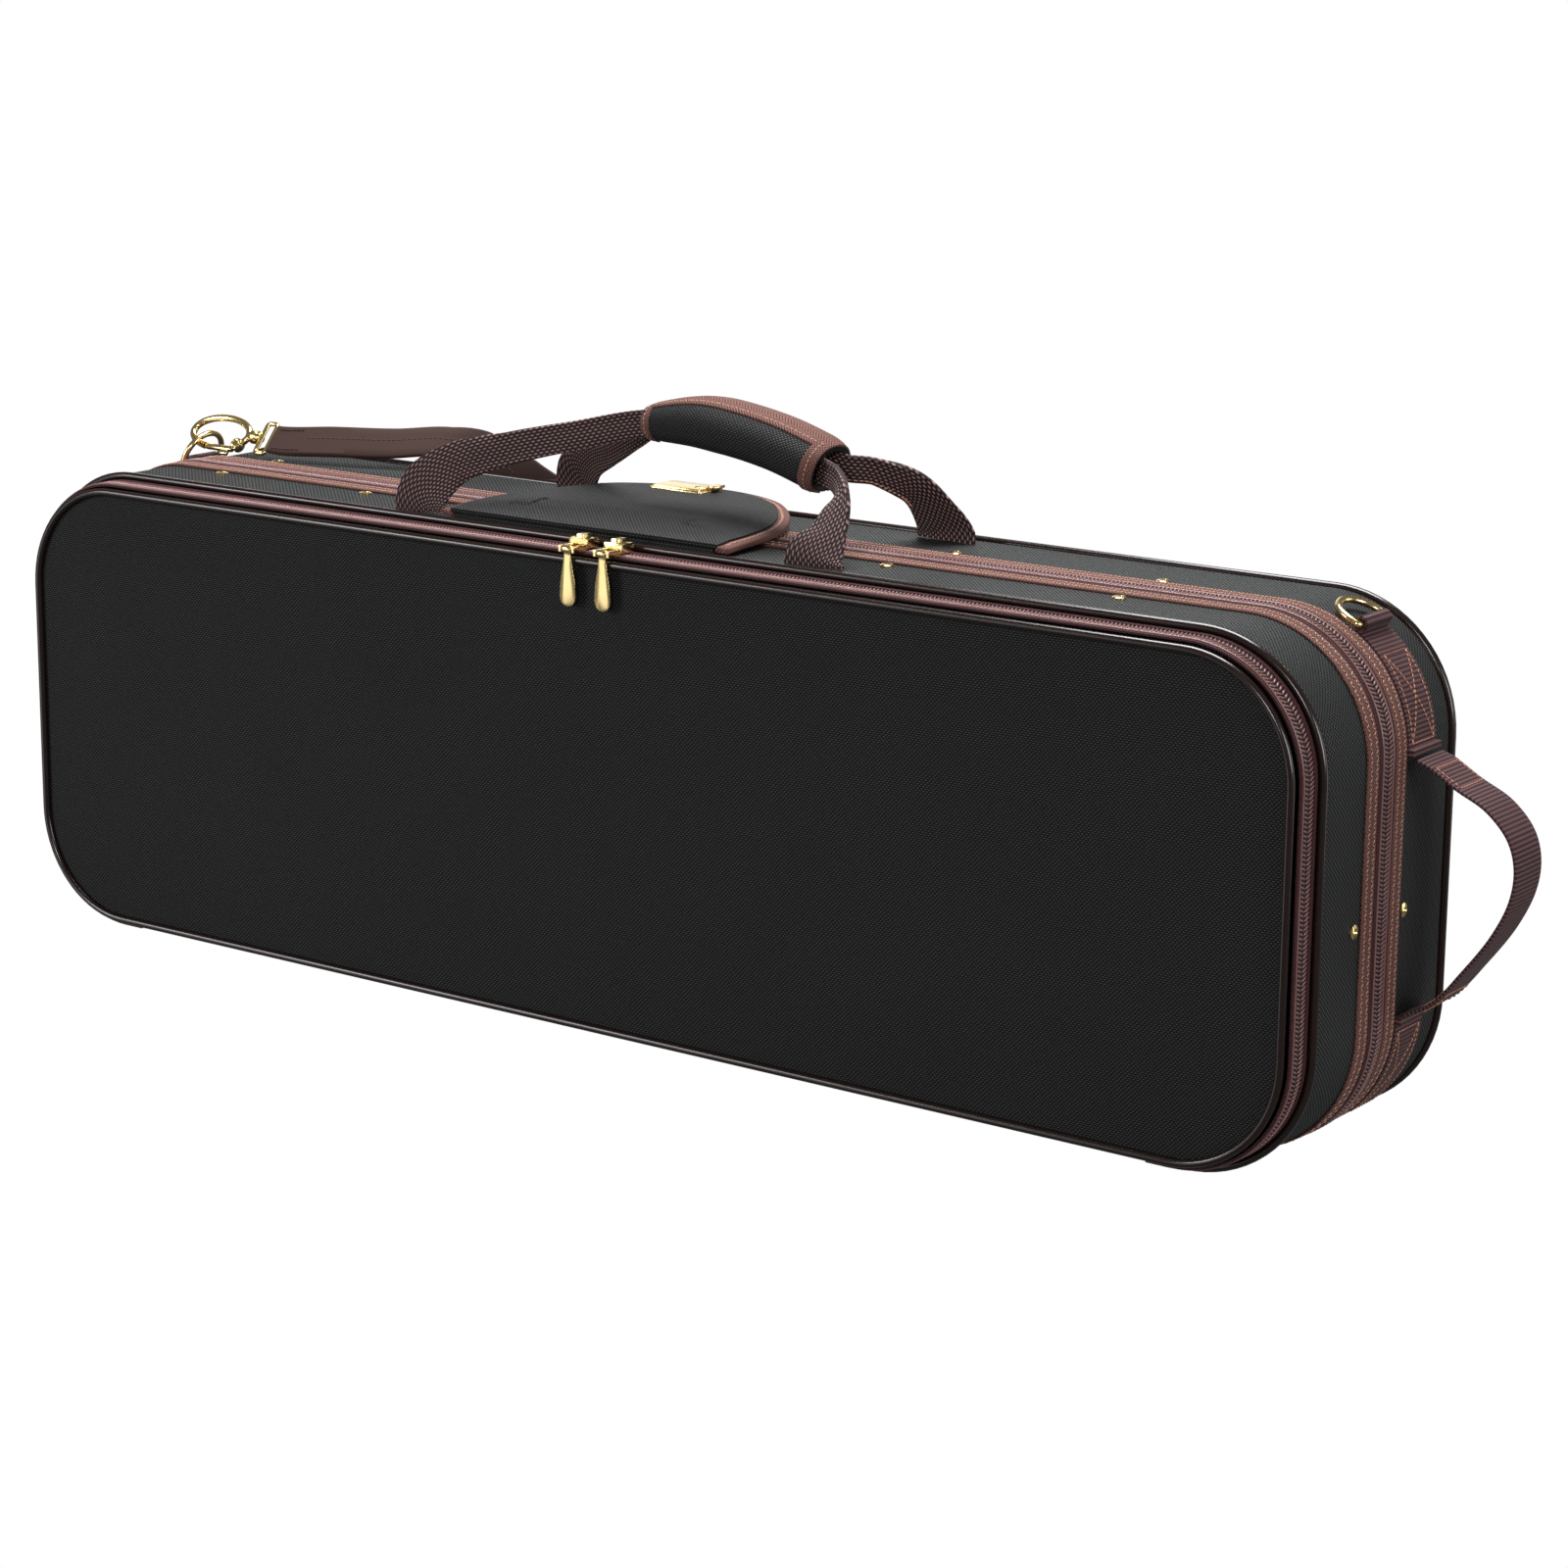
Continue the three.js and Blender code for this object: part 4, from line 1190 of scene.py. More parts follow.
@dataclass
class Pulls:
    """The sliders and their drop-shaped tabs."""

    def build(self) -> None:
        """Makes each slider and tab from its frame node, with rounded edges."""
        for side in ("left", "right"):
            for zip_name in ("pocket", "main"):
                node = f"{zip_name}_slider_{side}"
                settle(softened(node, 0.5), f"{zip_name}_slider_body_{side}", GOLD, node, [node])
            self.tab(f"pocket_pull_{side}", f"pocket_pull_{side}")
            self.tab(f"main_pull_{side}", f"main_slider_{side}")

    def tab(self, node: str, body: str) -> None:
        """One tab, its rim rounded."""
        settle(softened(node, 0.32), f"{node}_tab", GOLD, body, [node])


def d_ring(radius: float = 14.3, leg: float = 3.5, wire: float = 1.75) -> bpy.types.Object:
    """A D-ring: its bar along Y through the origin and its round end towards +X."""
    obj = added(bpy.ops.mesh.primitive_circle_add, vertices=64, radius=radius)
    edit(obj)
    choose(obj, Pick.POINTS, lambda mid, point: mid.x < -0.01)
    bpy.ops.mesh.delete(type="VERT")
    take_all()
    bpy.ops.transform.translate(value=(leg, 0, 0))
    choose(obj, Pick.POINTS, lambda mid, point: abs(mid.x - leg) < 0.02)
    bpy.ops.mesh.extrude_vertices_move(TRANSFORM_OT_translate={"value": (1.2 - leg, 0, 0)})
    bpy.ops.mesh.extrude_vertices_move(TRANSFORM_OT_translate={"value": (-1.2, 0, 0)})
    choose(obj, Pick.POINTS, lambda mid, point: abs(mid.x) < 0.01)
    bpy.ops.mesh.edge_face_add()
    choose(obj, Pick.POINTS, lambda mid, point: abs(mid.x) < 0.01)
    bpy.ops.mesh.bevel(offset=1.1, segments=3, affect="VERTICES")
    leave()
    return wired(obj, wire)


REAR_SLOPE = math.atan2(-200, 460)
REAR_Y = BODY_PIPE + 2.1
REAR_OUT = 4.2
REAR_END = (318.0, 40.0)


def rear_point(along: float, out: float) -> tuple[float, float, float]:
    """A point on the shoulder strap's line down the back."""
    return (REAR_END[0] - along * math.cos(REAR_SLOPE), REAR_Y + out,
            REAR_END[1] - along * math.sin(REAR_SLOPE))


def rear_turn(lean: float = 0.0) -> Matrix:
    """How the rear ring and hook are turned."""
    return (Matrix.Rotation(math.pi / 2, 4, "X") @ Matrix.Rotation(math.pi + REAR_SLOPE, 4, "Z")
            @ Matrix.Rotation(math.radians(lean), 4, "X"))


@dataclass
class StrapRings:
    """The D-rings on the corners and on the back, with the webbing that holds them."""

    corner_angle: float = 57.0
    bar_radius: float = CORNER + 4.6
    rest: dict[str, float] = field(default_factory=lambda: {"right": 155.0, "left": 65.0})

    def build(self) -> None:
        """Makes the rings, their loops and the stitched patches."""
        a = math.radians(self.corner_angle)
        x = CORNER_X + self.bar_radius * math.cos(a)
        z = MID_Z + CORNER_UP + self.bar_radius * math.sin(a)
        for side, sign in (("right", 1), ("left", -1)):
            ring = d_ring()
            turn = Matrix.Rotation(math.radians(-self.rest[side]), 4, "Y")
            ring.data.transform(Matrix.Translation((sign * x, STRAP_Y, z)) @ turn)
            settle(ring, f"ring_{side}", GOLD, f"ring_{side}", [f"d_ring_{side}"], smooth=60)
        ring = d_ring()
        ring.data.transform(Matrix.Translation(rear_point(0, REAR_OUT)) @ rear_turn())
        settle(ring, "ring_rear", GOLD, "ring_rear", ["d_ring_rear"], smooth=60)
        self.patches()

    def patches(self) -> None:
        """The sewn webbing: two end tabs, the left tab and the rear tab."""
        for node, edge in (("end_tab_upper", 0.5), ("end_tab_lower", 0.5), ("ring_tab_left", 0.5),
                           ("ring_tab_rear", 0.7)):
            obj = softened(node, edge)
            self.lay_wrapped(obj)
            settle(obj, f"{node}_webbing", END_WEBBING, "body", [node])
        self.box_stitch("upper", 4, 42, 1)
        self.box_stitch("lower", 6, 50, -1)

    def lay_wrapped(self, obj: bpy.types.Object) -> None:
        """Lays the webbing's ribs across the tab, all round the corner."""
        lay_cloth(obj)
        layer = obj.data.uv_layers[UV_NAME]
        for face in obj.data.polygons:
            if abs(face.normal.y) > FACES_Y:
                for index in face.loop_indices:
                    co = obj.data.vertices[obj.data.loops[index].vertex_index].co
                    layer.data[index].uv = (around(co.x, co.z - MID_Z), co.y)

    def box_stitch(self, name: str, low: float, high: float, up: int) -> None:
        """A box of orange stitches with a cross in it, round one corner.

        Args:
            name: Which tab.
            low: Its first angle up from the end face.
            high: Its last angle.
            up: 1 for the upper corner, -1 for the lower.
        """
        half = 10.5
        corners = [(low, -half), (high, -half), (high, half), (low, half), (low, -half),
                   (high, half), (high, -half), (low, half)]
        radius = CORNER + 1.95
        places = []
        for (a0, y0), (a1, y1) in zip(corners, corners[1:]):
            long = math.hypot(math.radians(a1 - a0) * radius, y1 - y0)
            for k in range(int(long / 2.6)):
                t = (k + 0.5) / int(long / 2.6)
                a = math.radians(a0 + (a1 - a0) * t)
                out = (math.cos(a), 0, up * math.sin(a))
                along = Vector((-math.sin(a) * math.radians(a1 - a0) * radius, y1 - y0,
                                up * math.cos(a) * math.radians(a1 - a0) * radius))
                at = (CORNER_X + radius * out[0], STRAP_Y + y0 + (y1 - y0) * t,
                      MID_Z + up * CORNER_UP + radius * out[2])
                places.append(basis(at, along, out))
        stitches(places, f"end_tab_{name}_stitches", STITCH_ORANGE, "body", 2.1, 0.55)


@dataclass
class SnapHook:
    """A cast snap hook: oval bow, sprung gate, boss, swivel and strap eye."""

    name: str
    at: Matrix
    half_long: float = 21.0
    half_wide: float = 10.0
    wire: float = 2.0

    def build(self) -> None:
        """Makes the hook and its gate."""
        parts = [self.bow(), self.boss(), self.swivel(), self.eye()]
        hook = joined(parts)
        hook.data.transform(self.at)
        settle(hook, f"hook_{self.name}", GOLD, "body", [f"snap_hook_{self.name}"], smooth=45)
        gate = softened_gate(self.half_wide)
        gate.data.transform(self.at)
        settle(gate, f"hook_gate_{self.name}", GOLD, f"gate_{self.name}",
               [f"snap_gate_{self.name}"], smooth=45)

    def bow(self) -> bpy.types.Object:
        """The oval bow, cut open where the gate closes it."""
        obj = added(bpy.ops.mesh.primitive_circle_add, vertices=72, radius=1)
        edit(obj)
        take_all()
        stretch((self.half_long, self.half_wide, 1))
        choose(obj, Pick.POINTS, lambda mid, point: mid.y < 0 and -6.5 < mid.x < 14.5)
        bpy.ops.mesh.delete(type="VERT")
        leave()
        return wired(obj, self.wire, closed=False)

    def boss(self) -> bpy.types.Object:
        """The round boss at the gate's hinge, with its screw."""
        obj = added(bpy.ops.mesh.primitive_cylinder_add,
                    vertices=28, radius=3.6, depth=4.6, location=(16.2, -6.6, 0))
        apply_placing()
        edit(obj)
        choose(obj, Pick.FACES, lambda mid, face: abs(face.normal.z) > 0.9)
        bpy.ops.mesh.inset(thickness=0.9)
        bpy.ops.mesh.extrude_region_shrink_fatten(TRANSFORM_OT_shrink_fatten={"value": -0.5})
        bpy.ops.mesh.inset(thickness=0.6)
        bpy.ops.mesh.extrude_region_shrink_fatten(TRANSFORM_OT_shrink_fatten={"value": 0.45})
        leave()
        modify(obj, "BEVEL", width=0.35, segments=2, limit_method="ANGLE")
        return obj

    def swivel(self) -> bpy.types.Object:
        """The turned barrel between bow and eye."""
        obj = added(bpy.ops.mesh.primitive_cylinder_add,
                    vertices=24, radius=3.0, depth=9.4, rotation=(0, math.pi / 2, 0),
                    location=(self.half_long + 5, 0, 0))
        apply_placing()
        edit(obj)
        for x in (self.half_long + 3, self.half_long + 7):
            cut(plane_co=(x, 0, 0), plane_no=(1, 0, 0))
        choose(obj, Pick.FACES, lambda mid, face: self.half_long + 3 < mid.x < self.half_long + 7
               and abs(face.normal.x) < 0.5)
        bpy.ops.mesh.extrude_region_shrink_fatten(TRANSFORM_OT_shrink_fatten={"value": 0.9})
        leave()
        modify(obj, "BEVEL", width=0.3, segments=2, limit_method="ANGLE")
        return obj

    def eye(self) -> bpy.types.Object:
        """The flat loop that the strap passes through."""
        obj = added(bpy.ops.mesh.primitive_plane_add, size=1, location=(0, 0, 0))
        edit(obj)
        take_all()
        stretch((7.2, 19.6, 1))
        bpy.ops.transform.translate(value=(self.half_long + 13.6, 0, 0))
        bpy.ops.mesh.bevel(offset=2.0, segments=4, affect="VERTICES")
        drop_face()
        leave()
        return wired(obj, 1.35)


def softened_gate(half_wide: float) -> bpy.types.Object:
    """The hook's gate: a rounded bar with a thumb lever."""
    parts = []
    for centre, size in (((4.0, -half_wide + 0.4, 0.0), (20.4, 3.0, 3.2)),
                         ((8.5, -half_wide - 2.2, 0.0), (6.5, 3.4, 2.6))):
        obj = added(bpy.ops.mesh.primitive_cube_add, size=1, location=centre)
        apply_placing()
        edit(obj)
        take_all()
        stretch(size, centre)
        leave()
        modify(obj, "BEVEL", width=0.9, segments=3, limit_method="ANGLE")
        parts.append(obj)
    return joined(parts)


@dataclass
class Rivets:
    """Gold rivets, each with a hollow middle, along the top and on the ends."""

    radius: float = 3.5
    lid_tops: tuple[float, ...] = (-301.0, -196.0, 141.0, 272.0)
    body_tops: tuple[float, ...] = (-305.0, -190.0, 149.0, 267.0)
    end_z: float = 118.0
    lid_y: float = SPLIT - 25
    body_y: float = SPLIT + 23.5

    def build(self) -> None:
        """Places every rivet on the lid and on the body."""
        top = TOP_Z - 0.1
        lid = [basis((x, self.lid_y, top), (1, 0, 0), (0, 0, 1)) for x in self.lid_tops]
        body = [basis((x, self.body_y, top), (1, 0, 0), (0, 0, 1)) for x in self.body_tops]
        for sign in (1, -1):
            out = sign * (LENGTH / 2 - 0.1)
            lid.append(basis((out, self.lid_y, self.end_z), (0, 1, 0), (sign, 0, 0)))
            body.append(basis((out, self.body_y, self.end_z), (0, 1, 0), (sign, 0, 0)))
        for name, places in (("lid", lid), ("body", body)):
            obj = repeated(self.head(), places, f"{name}_rivets")
            settle(obj, f"{name}_rivets", GOLD, name, smooth=50)

    def head(self) -> bpy.types.Object:
        """One rivet head at the origin, its top towards +Z."""
        obj = added(bpy.ops.mesh.primitive_cylinder_add,
                    vertices=24, radius=self.radius, depth=1.0, location=(0, 0, 0.5))
        apply_placing()
        edit(obj)
        choose(obj, Pick.FACES, lambda mid, face: face.normal.z > 0.9)
        bpy.ops.mesh.inset(thickness=0.9, depth=0.45)
        bpy.ops.mesh.inset(thickness=0.9, depth=0.1)
        bpy.ops.mesh.inset(thickness=0.35, depth=-0.9)
        leave()
        return obj


# ---- flap and clasp -----------------------------------------------------------------------


@dataclass
class Flap:
    """The round-ended flap over the split, its woven edge and its clasp."""

    middle: float = -25.0
    half: float = 92.0
    low: float = TOP_Z + PROUD + 4.6
    thick: float = 2.4
    front: float = LID_PIPE + 3.5
    round_y: float = SPLIT - 35
    deep: float = 97.0
    edge: float = 8.0

    def build(self) -> None:
        """Makes the cloth panel, the edge tape, its stitches and the clasp."""
        self.panel()
        self.edge_tape()
        self.edge_stitches()
        self.clasp()

    def sheet(self) -> bpy.types.Object:
        """The flap's outline as one face, drawn a little past its front."""
        obj = added(bpy.ops.mesh.primitive_circle_add, vertices=96, radius=1)
        edit(obj)
        choose(obj, Pick.POINTS, lambda mid, point: mid.y < -0.001)
        bpy.ops.mesh.delete(type="VERT")
        take_all()
        stretch((self.half, self.deep, 1))
        choose(obj, Pick.POINTS, lambda mid, point: mid.y < 0.01)
        bpy.ops.mesh.extrude_vertices_move(
            TRANSFORM_OT_translate={"value": (0, self.front - self.round_y - 12, 0)})
        take_all()
        bpy.ops.mesh.edge_face_add()
        bpy.ops.transform.translate(value=(self.middle, self.round_y, self.low + self.thick))
        leave()
        return obj

    def trim(self, obj: bpy.types.Object) -> None:
        """Cuts away what was drawn past the front."""
        edit(obj)
        cut(plane_co=(0, self.front, 0), plane_no=(0, 1, 0), clear_inner=True)
        leave()

    def depth(self, x: float, y: float) -> float:
        """How far a point lies inside the flap's edge, roughly."""
        if y < self.round_y:
            return self.half - abs(x - self.middle)
        u, v = (x - self.middle) / self.half, (y - self.round_y) / self.deep
        return (1 - math.hypot(u, v)) * (self.half + self.deep) / 2

    def sag(self, x: float, y: float) -> float:
        """How far the flap hangs down towards its sewn front edge and its sides."""
        share = min(max((self.round_y + 14 - y) / (self.round_y + 14 - self.front), 0.0), 1.0)
        side = min(max((abs(x - self.middle) - 48) / 44, 0.0), 1.0)
        front = FLAP_DROP * share * share * (3 - 2 * share)
        sides = FLAP_SIDE_DROP * side * side * (3 - 2 * side) * (1 - share)
        return max(front, sides + FLAP_DROP * share * side)

    def droop(self, obj: bpy.types.Object) -> None:
        """Lowers the flap's front to the lid's top."""
        for point in obj.data.vertices:
            point.co.z -= self.sag(point.co.x, point.co.y)

    def dome(self, obj: bpy.types.Object, height: float) -> None:
        """Swells the flap's middle upwards and drops its rim a little."""
        for point in obj.data.vertices:
            inside = min(max(self.depth(point.co.x, point.co.y) / 60, 0.0), 1.0)
            share = 1 - (1 - inside) ** 2
            point.co.z += height * share
            point.co.z += 0.2 * math.sin(point.co.x / 23) * math.sin(point.co.y / 17) * inside

    def panel(self) -> None:
        """The padded cloth inside the edge tape, with its lip down to the lid."""
        obj = self.sheet()
        edit(obj)
        take_all()
        bpy.ops.mesh.inset(thickness=self.edge - 1.6)
        choose(obj, Pick.FACES, lambda mid, face: len(face.verts) < 8)
        bpy.ops.mesh.delete(type="FACE")
        choose(obj, Pick.FACES, lambda mid, face: True)
        for step in FLAP_INSETS:
            bpy.ops.mesh.inset(thickness=step)
        for k in range(1, 12):
            cut(plane_co=(self.middle - self.half + 15.3 * k, 0, 0), plane_no=(1, 0, 0))
            cut(plane_co=(0, self.front - 10 + 10.7 * k, 0), plane_no=(0, 1, 0))
        leave()
        self.trim(obj)
        self.dome(obj, 0.1)
        self.droop(obj)
        even_normals(obj)
        if obj.data.polygons[0].normal.z < 0:
            obj.data.flip_normals()
        modify(obj, "SOLIDIFY", thickness=self.thick - 0.4, offset=-1.0)
        lay_box(obj)
        lip = self.lip()
        settle(joined([obj, lip]), "flap_cloth", OXFORD, "flap", ["flap_panel"])

    def lip(self) -> bpy.types.Object:
        """The turned-down front of the flap, sewn to the lid's top."""
        wide = 2 * (self.half - self.edge) - 1
        high = self.low + self.thick - FLAP_DROP - TOP_Z - 0.6
        obj = added(bpy.ops.mesh.primitive_cube_add, size=1, location=(0, 0, 0))
        edit(obj)
        take_all()
        stretch((wide, 2.2, high))
        bpy.ops.transform.translate(value=(self.middle, self.front + 1.1, TOP_Z + 0.3 + high / 2))
        leave()
        modify(obj, "BEVEL", width=0.8, segments=3, limit_method="ANGLE")
        lay_box(obj)
        return obj

    def edge_tape(self) -> None:
        """The woven tape folded over the flap's rim."""
        obj = self.sheet()
        edit(obj)
        take_all()
        bpy.ops.mesh.inset(thickness=self.edge)
        choose(obj, Pick.FACES, lambda mid, face: len(face.verts) > 8)
        bpy.ops.mesh.delete(type="FACE")
        leave()
        self.trim(obj)
        if obj.data.polygons[0].normal.z < 0:
            obj.data.flip_normals()
        edit(obj)
        for k in range(1, 8):
            cut(plane_co=(0, self.front + 4.4 * k, 0), plane_no=(0, 1, 0))
        leave()
        self.droop(obj)
        for point in obj.data.vertices:
            point.co.z += 0.9
        modify(obj, "SOLIDIFY", thickness=self.thick + 1.0, offset=-1.0)
        modify(obj, "BEVEL", width=1.1, segments=3, limit_method="ANGLE",
               angle_limit=math.radians(40))
        self.lay_round(obj)
        settle(obj, "flap_edge_tape", BINDING, "flap", ["flap_binding"])

    def lay_round(self, obj: bpy.types.Object) -> None:
        """Lays the tape's cloth along the flap's rim."""
        layer = obj.data.uv_layers.get(UV_NAME) or obj.data.uv_layers.new(name=UV_NAME)
        for loop in obj.data.loops:
            co = obj.data.vertices[loop.vertex_index].co
            if co.y < self.round_y:
                side = math.copysign(1.0, co.x - self.middle)
                run = side * (148 + self.round_y - co.y)
            else:
                run = 94.5 * math.atan2(co.x - self.middle, co.y - self.round_y)
            layer.data[loop.index].uv = (run, self.depth(co.x, co.y) + co.z)

    def rim(self, inset: float, pitch: float, turn: Sequence[float], lift: float) -> list[Matrix]:
        """Places along a line inside the flap's rim."""
        a, b = self.half - inset, self.deep - inset
        straight = int(self.round_y - self.front - 3)
        line = [(self.middle - a, self.front + 3 + k) for k in range(straight)]
        line += [(self.middle - a * math.cos(math.pi * k / 90),
                  self.round_y + b * math.sin(math.pi * k / 90)) for k in range(91)]
        line += [(2 * self.middle - x, y) for x, y in reversed(line[:20]) if y < self.round_y]
        data = np.array(line)
        run = np.concatenate([[0], np.cumsum(np.hypot(*np.diff(data, axis=0).T))])
        z = self.low + self.thick + lift
        places = []
        for k in range(int(run[-1] / pitch)):
            at = (k + 0.5) * pitch
            (x, y), (x1, y1), (x0, y0) = (
                [float(np.interp(s, run, data[:, i])) for i in range(2)]
                for s in (at, at + 0.5, at - 0.5))
            m = basis((x, y, z - self.sag(x, y)),
                      (x1 - x0, y1 - y0, self.sag(x0, y0) - self.sag(x1, y1)), (0, 0, 1))
            places.append(turned(m, turn, k))
        return places

    def edge_stitches(self) -> None:
        """A zigzag of pale stitches along the tape."""
        stitches(self.rim(4.2, 2.0, (38, -38), 0.95), "flap_edge_stitches", STITCH_PALE, "flap",
                 2.9, 0.6)

    def plate(self, long: float = 34.0, wide: float = 21.0, thick: float = 2.6) -> bpy.types.Object:
        """The clasp's plate, with cut corners and a step round its raised middle."""
        at = (-36.0, SPLIT + 47, self.low + self.thick + 1.0 + thick / 2)
        obj = added(bpy.ops.mesh.primitive_plane_add, size=1, location=(0, 0, 0))
        edit(obj)
        take_all()
        stretch((long, wide, 1))
        bpy.ops.mesh.bevel(offset=2.2, segments=3, affect="VERTICES")
        bpy.ops.mesh.select_mode(type="FACE")
        take_all()
        bpy.ops.mesh.extrude_region_move(TRANSFORM_OT_translate={"value": (0, 0, thick - 0.9)})
        bpy.ops.mesh.inset(thickness=1.5, depth=0.0)
        bpy.ops.mesh.extrude_region_move(TRANSFORM_OT_translate={"value": (0, 0, 0.9)})
        take_all()
        bpy.ops.transform.translate(value=(at[0], at[1], at[2] - thick / 2))
        bpy.ops.mesh.normals_make_consistent(inside=False)
        leave()
        modify(obj, "BEVEL", width=0.35, segments=2, limit_method="ANGLE",
               angle_limit=math.radians(40))
        return obj

    def clasp(self) -> None:
        """The gold clasp: its plate, its slide and the post it closes on."""
        plate = self.plate()
        settle(plate, "clasp_plate_cast", GOLD, "flap", ["clasp_plate"])
        slide = softened("clasp_slide", 0.35)
        slide.data.transform(Matrix.Translation((0, 0, 0.7)))
        settle(slide, "clasp_slide_cast", GOLD, "clasp_slide", ["clasp_slide"])
        post = softened("clasp_post", 0.35)
        settle(post, "clasp_post_cast", GOLD, "body", ["clasp_post"])


# ---- carrying handle ----------------------------------------------------------------------


@dataclass
class CarryHandle:
    """Two webbing loops whose middles meet inside a wrapped grip."""

    half_deep: float = 17.0
    half_high: float = 13.5
    line: tuple[tuple[float, float], ...] = ((-22.0, 309.0), (15.0, 311.5), (56.0, 306.0),
                                             (90.0, 296.0))
    band_wide: float = 7.0

    def build(self) -> None:
        """Makes both loops and both halves of the grip."""
        for sign, side in ((-1, "front"), (1, "rear")):
            strap = Strap(self.stops(sign), 150)
            loop = strap.band(f"{side}_loop", crown=0.15)
            self.gather(loop, strap)
            settle(loop, f"{side}_handle_webbing", WEBBING, f"{side}_handle", [f"{side}_webbing"])
            self.loop_stitches(strap, side, sign)
            self.grip(sign, side)

    def stops(self, sign: int) -> list[Stop]:
        """Where one loop runs.

        Args:
            sign: -1 for the lid's loop and 1 for the body's.

        Returns:
            Its stops, from its left foot to its right foot.
        """
        def foot(x: float, y: float, z: float, width: float, thick: float = 1.8) -> Stop:
            return Stop((x, SPLIT + sign * y, z), (0, -1, 0), width, thick)

        z0 = TOP_Z + 0.3
        grip = [foot(x, 8.5, z, 14, 2.4) for x, z in self.line]
        if sign < 0:
            return [foot(-138, 48, z0, 32), foot(-138, 48, z0 + 4, 32), foot(-134, 46.5, 270, 31),
                    foot(-119, 40, 283, 22, 2.4), foot(-92, 30, 292, 17, 3.2),
                    foot(-56, 18, 301, 15, 3.2), *grip, foot(104, 15, 293.5, 13, 3.2),
                    foot(115, 28, 288, 12, 3.6), foot(117, 40, 274, 20, 2.6),
                    foot(114, 48, z0 + 4, 35), foot(114, 48, z0, 35)]
        return [foot(-111, 52, z0, 33), foot(-111, 52, z0 + 4, 33), foot(-110, 50, 267, 31),
                foot(-97, 42, 278, 25, 2.2), foot(-72, 29, 287, 18, 3.0),
                foot(-46, 16, 298, 15, 3.2),
                *grip, foot(103, 20, 293.5, 14, 3.0), foot(116, 36, 284, 20, 2.4),
                foot(122, 47, 270, 28), foot(124, 52, z0 + 4, 35), foot(124, 52, z0, 35)]

    def gather(self, obj: bpy.types.Object, strap: Strap) -> None:
        """Creases the webbing lengthwise where it narrows towards the grip."""
        for point in obj.data.vertices:
            near = int(np.argmin(np.linalg.norm(strap.points - np.array(point.co), axis=1)))
            narrow = max(0.0, 1 - strap.width[near] / 30)
            across = float(np.dot(np.array(point.co) - strap.points[near], strap.side[near]))
            crease = math.sin(across * 0.9 + 0.6) * 1.1 * narrow
            point.co += Vector(strap.up[near] * crease)

    def loop_stitches(self, strap: Strap, side: str, sign: int) -> None:
        """Rows of stitches where the loop is sewn down, and along the free webbing."""
        rows: list[Matrix] = []
        for start, end in ((2.5, 20.0), (strap.length - 20.0, strap.length - 2.5)):
            for across in (-0.86, 0.86):
                rows += strap.places(across, -0.25, 2.9, start, end)
        for at in (4.0, 8.0, strap.length - 8.0, strap.length - 4.0):
            rows += strap.row_across([-0.82 + 1.64 * (k + 0.5) / 10 for k in range(10)], -0.25, at)
        if sign > 0:
            for out in (-0.2, 0.2):
                rows += strap.places(0.78, out, 3.1, strap.length - 118, strap.length - 22)
        stitches(rows, f"{side}_handle_stitches", STITCH_ORANGE, f"{side}_handle", 2.3, 0.75)

    def spine(self, steps: int) -> Strap:
        """The grip's middle line."""
        return Strap([Stop((x, SPLIT, z), (0, 0, 1), 1) for x, z in self.line], steps)

    def skin(self, u: float, angle: float, sign: int) -> tuple[float, float]:
        """The grip's half section at a share along it: depth and height from its middle.

        Args:
            u: Share of the way along the grip.
            angle: Angle round the section, -90 to 90 degrees as radians.
            sign: -1 for the lid's half.

        Returns:
            The offset along Y and up.
        """
        end = min(u, 1 - u)
        plump = 1 - 0.12 * max(0.0, 1 - end / 0.09) ** 2
        plump *= 1 - 0.36 * max(0.0, 1 - u / 0.42) ** 1.5
        if sign > 0:
            plump *= 0.965
        deep = self.half_deep * plump * math.copysign(abs(math.cos(angle)) ** 0.85, math.cos(angle))
        high = self.half_high * plump * math.copysign(abs(math.sin(angle)) ** 0.9, angle)
        return sign * (0.15 + deep), high

    def surface(self, sign: int, u0: float, u1: float, a0: float, a1: float, lift: float,
                cuts: tuple[int, int], thick: float, name: str) -> bpy.types.Object:
        """A patch of the grip's skin with a thickness.

        Args:
            sign: -1 for the lid's half, 1 for the body's.
            u0: Where it starts along the grip, as a share.
            u1: Where it ends.
            a0: Its first angle in degrees.
            a1: Its last angle.
            lift: How far it stands off the skin.
            cuts: How many cuts it has along and round.
            thick: Its thickness inwards.
            name: The object's name.

        Returns:
            The patch.
        """
        steps = 120
        spine = self.spine(steps)
        points, uvs = [], []
        for i in range(cuts[0] + 1):
            u = u0 + (u1 - u0) * i / cuts[0]
            middle, up, tangent = (np.array([np.interp(u * spine.length, spine.run, v[:, k])
                                             for k in range(3)])
                                   for v in (spine.points, spine.up, spine.tangent))
            for j in range(cuts[1] + 1):
                angle = math.radians(a0 + (a1 - a0) * j / cuts[1])
                y, high = self.skin(u, angle, sign)
                out = np.array([0.0, sign * math.cos(angle), 0.0]) + up * math.sin(angle)
                points.append(middle + np.array([0.0, y, 0.0]) + up * high + out * lift)
                uvs.append((u * spine.length, math.degrees(angle) * 0.27))
        wide = cuts[1] + 1
        faces = [[i * wide + j, i * wide + j + 1, (i + 1) * wide + j + 1, (i + 1) * wide + j]
                 for i in range(cuts[0]) for j in range(cuts[1])]
        obj = mesh_object(name, np.array(points), faces, np.array(uvs))
        face = obj.data.polygons[len(faces) // 2]
        if face.normal.y * sign < 0:
            obj.data.flip_normals()
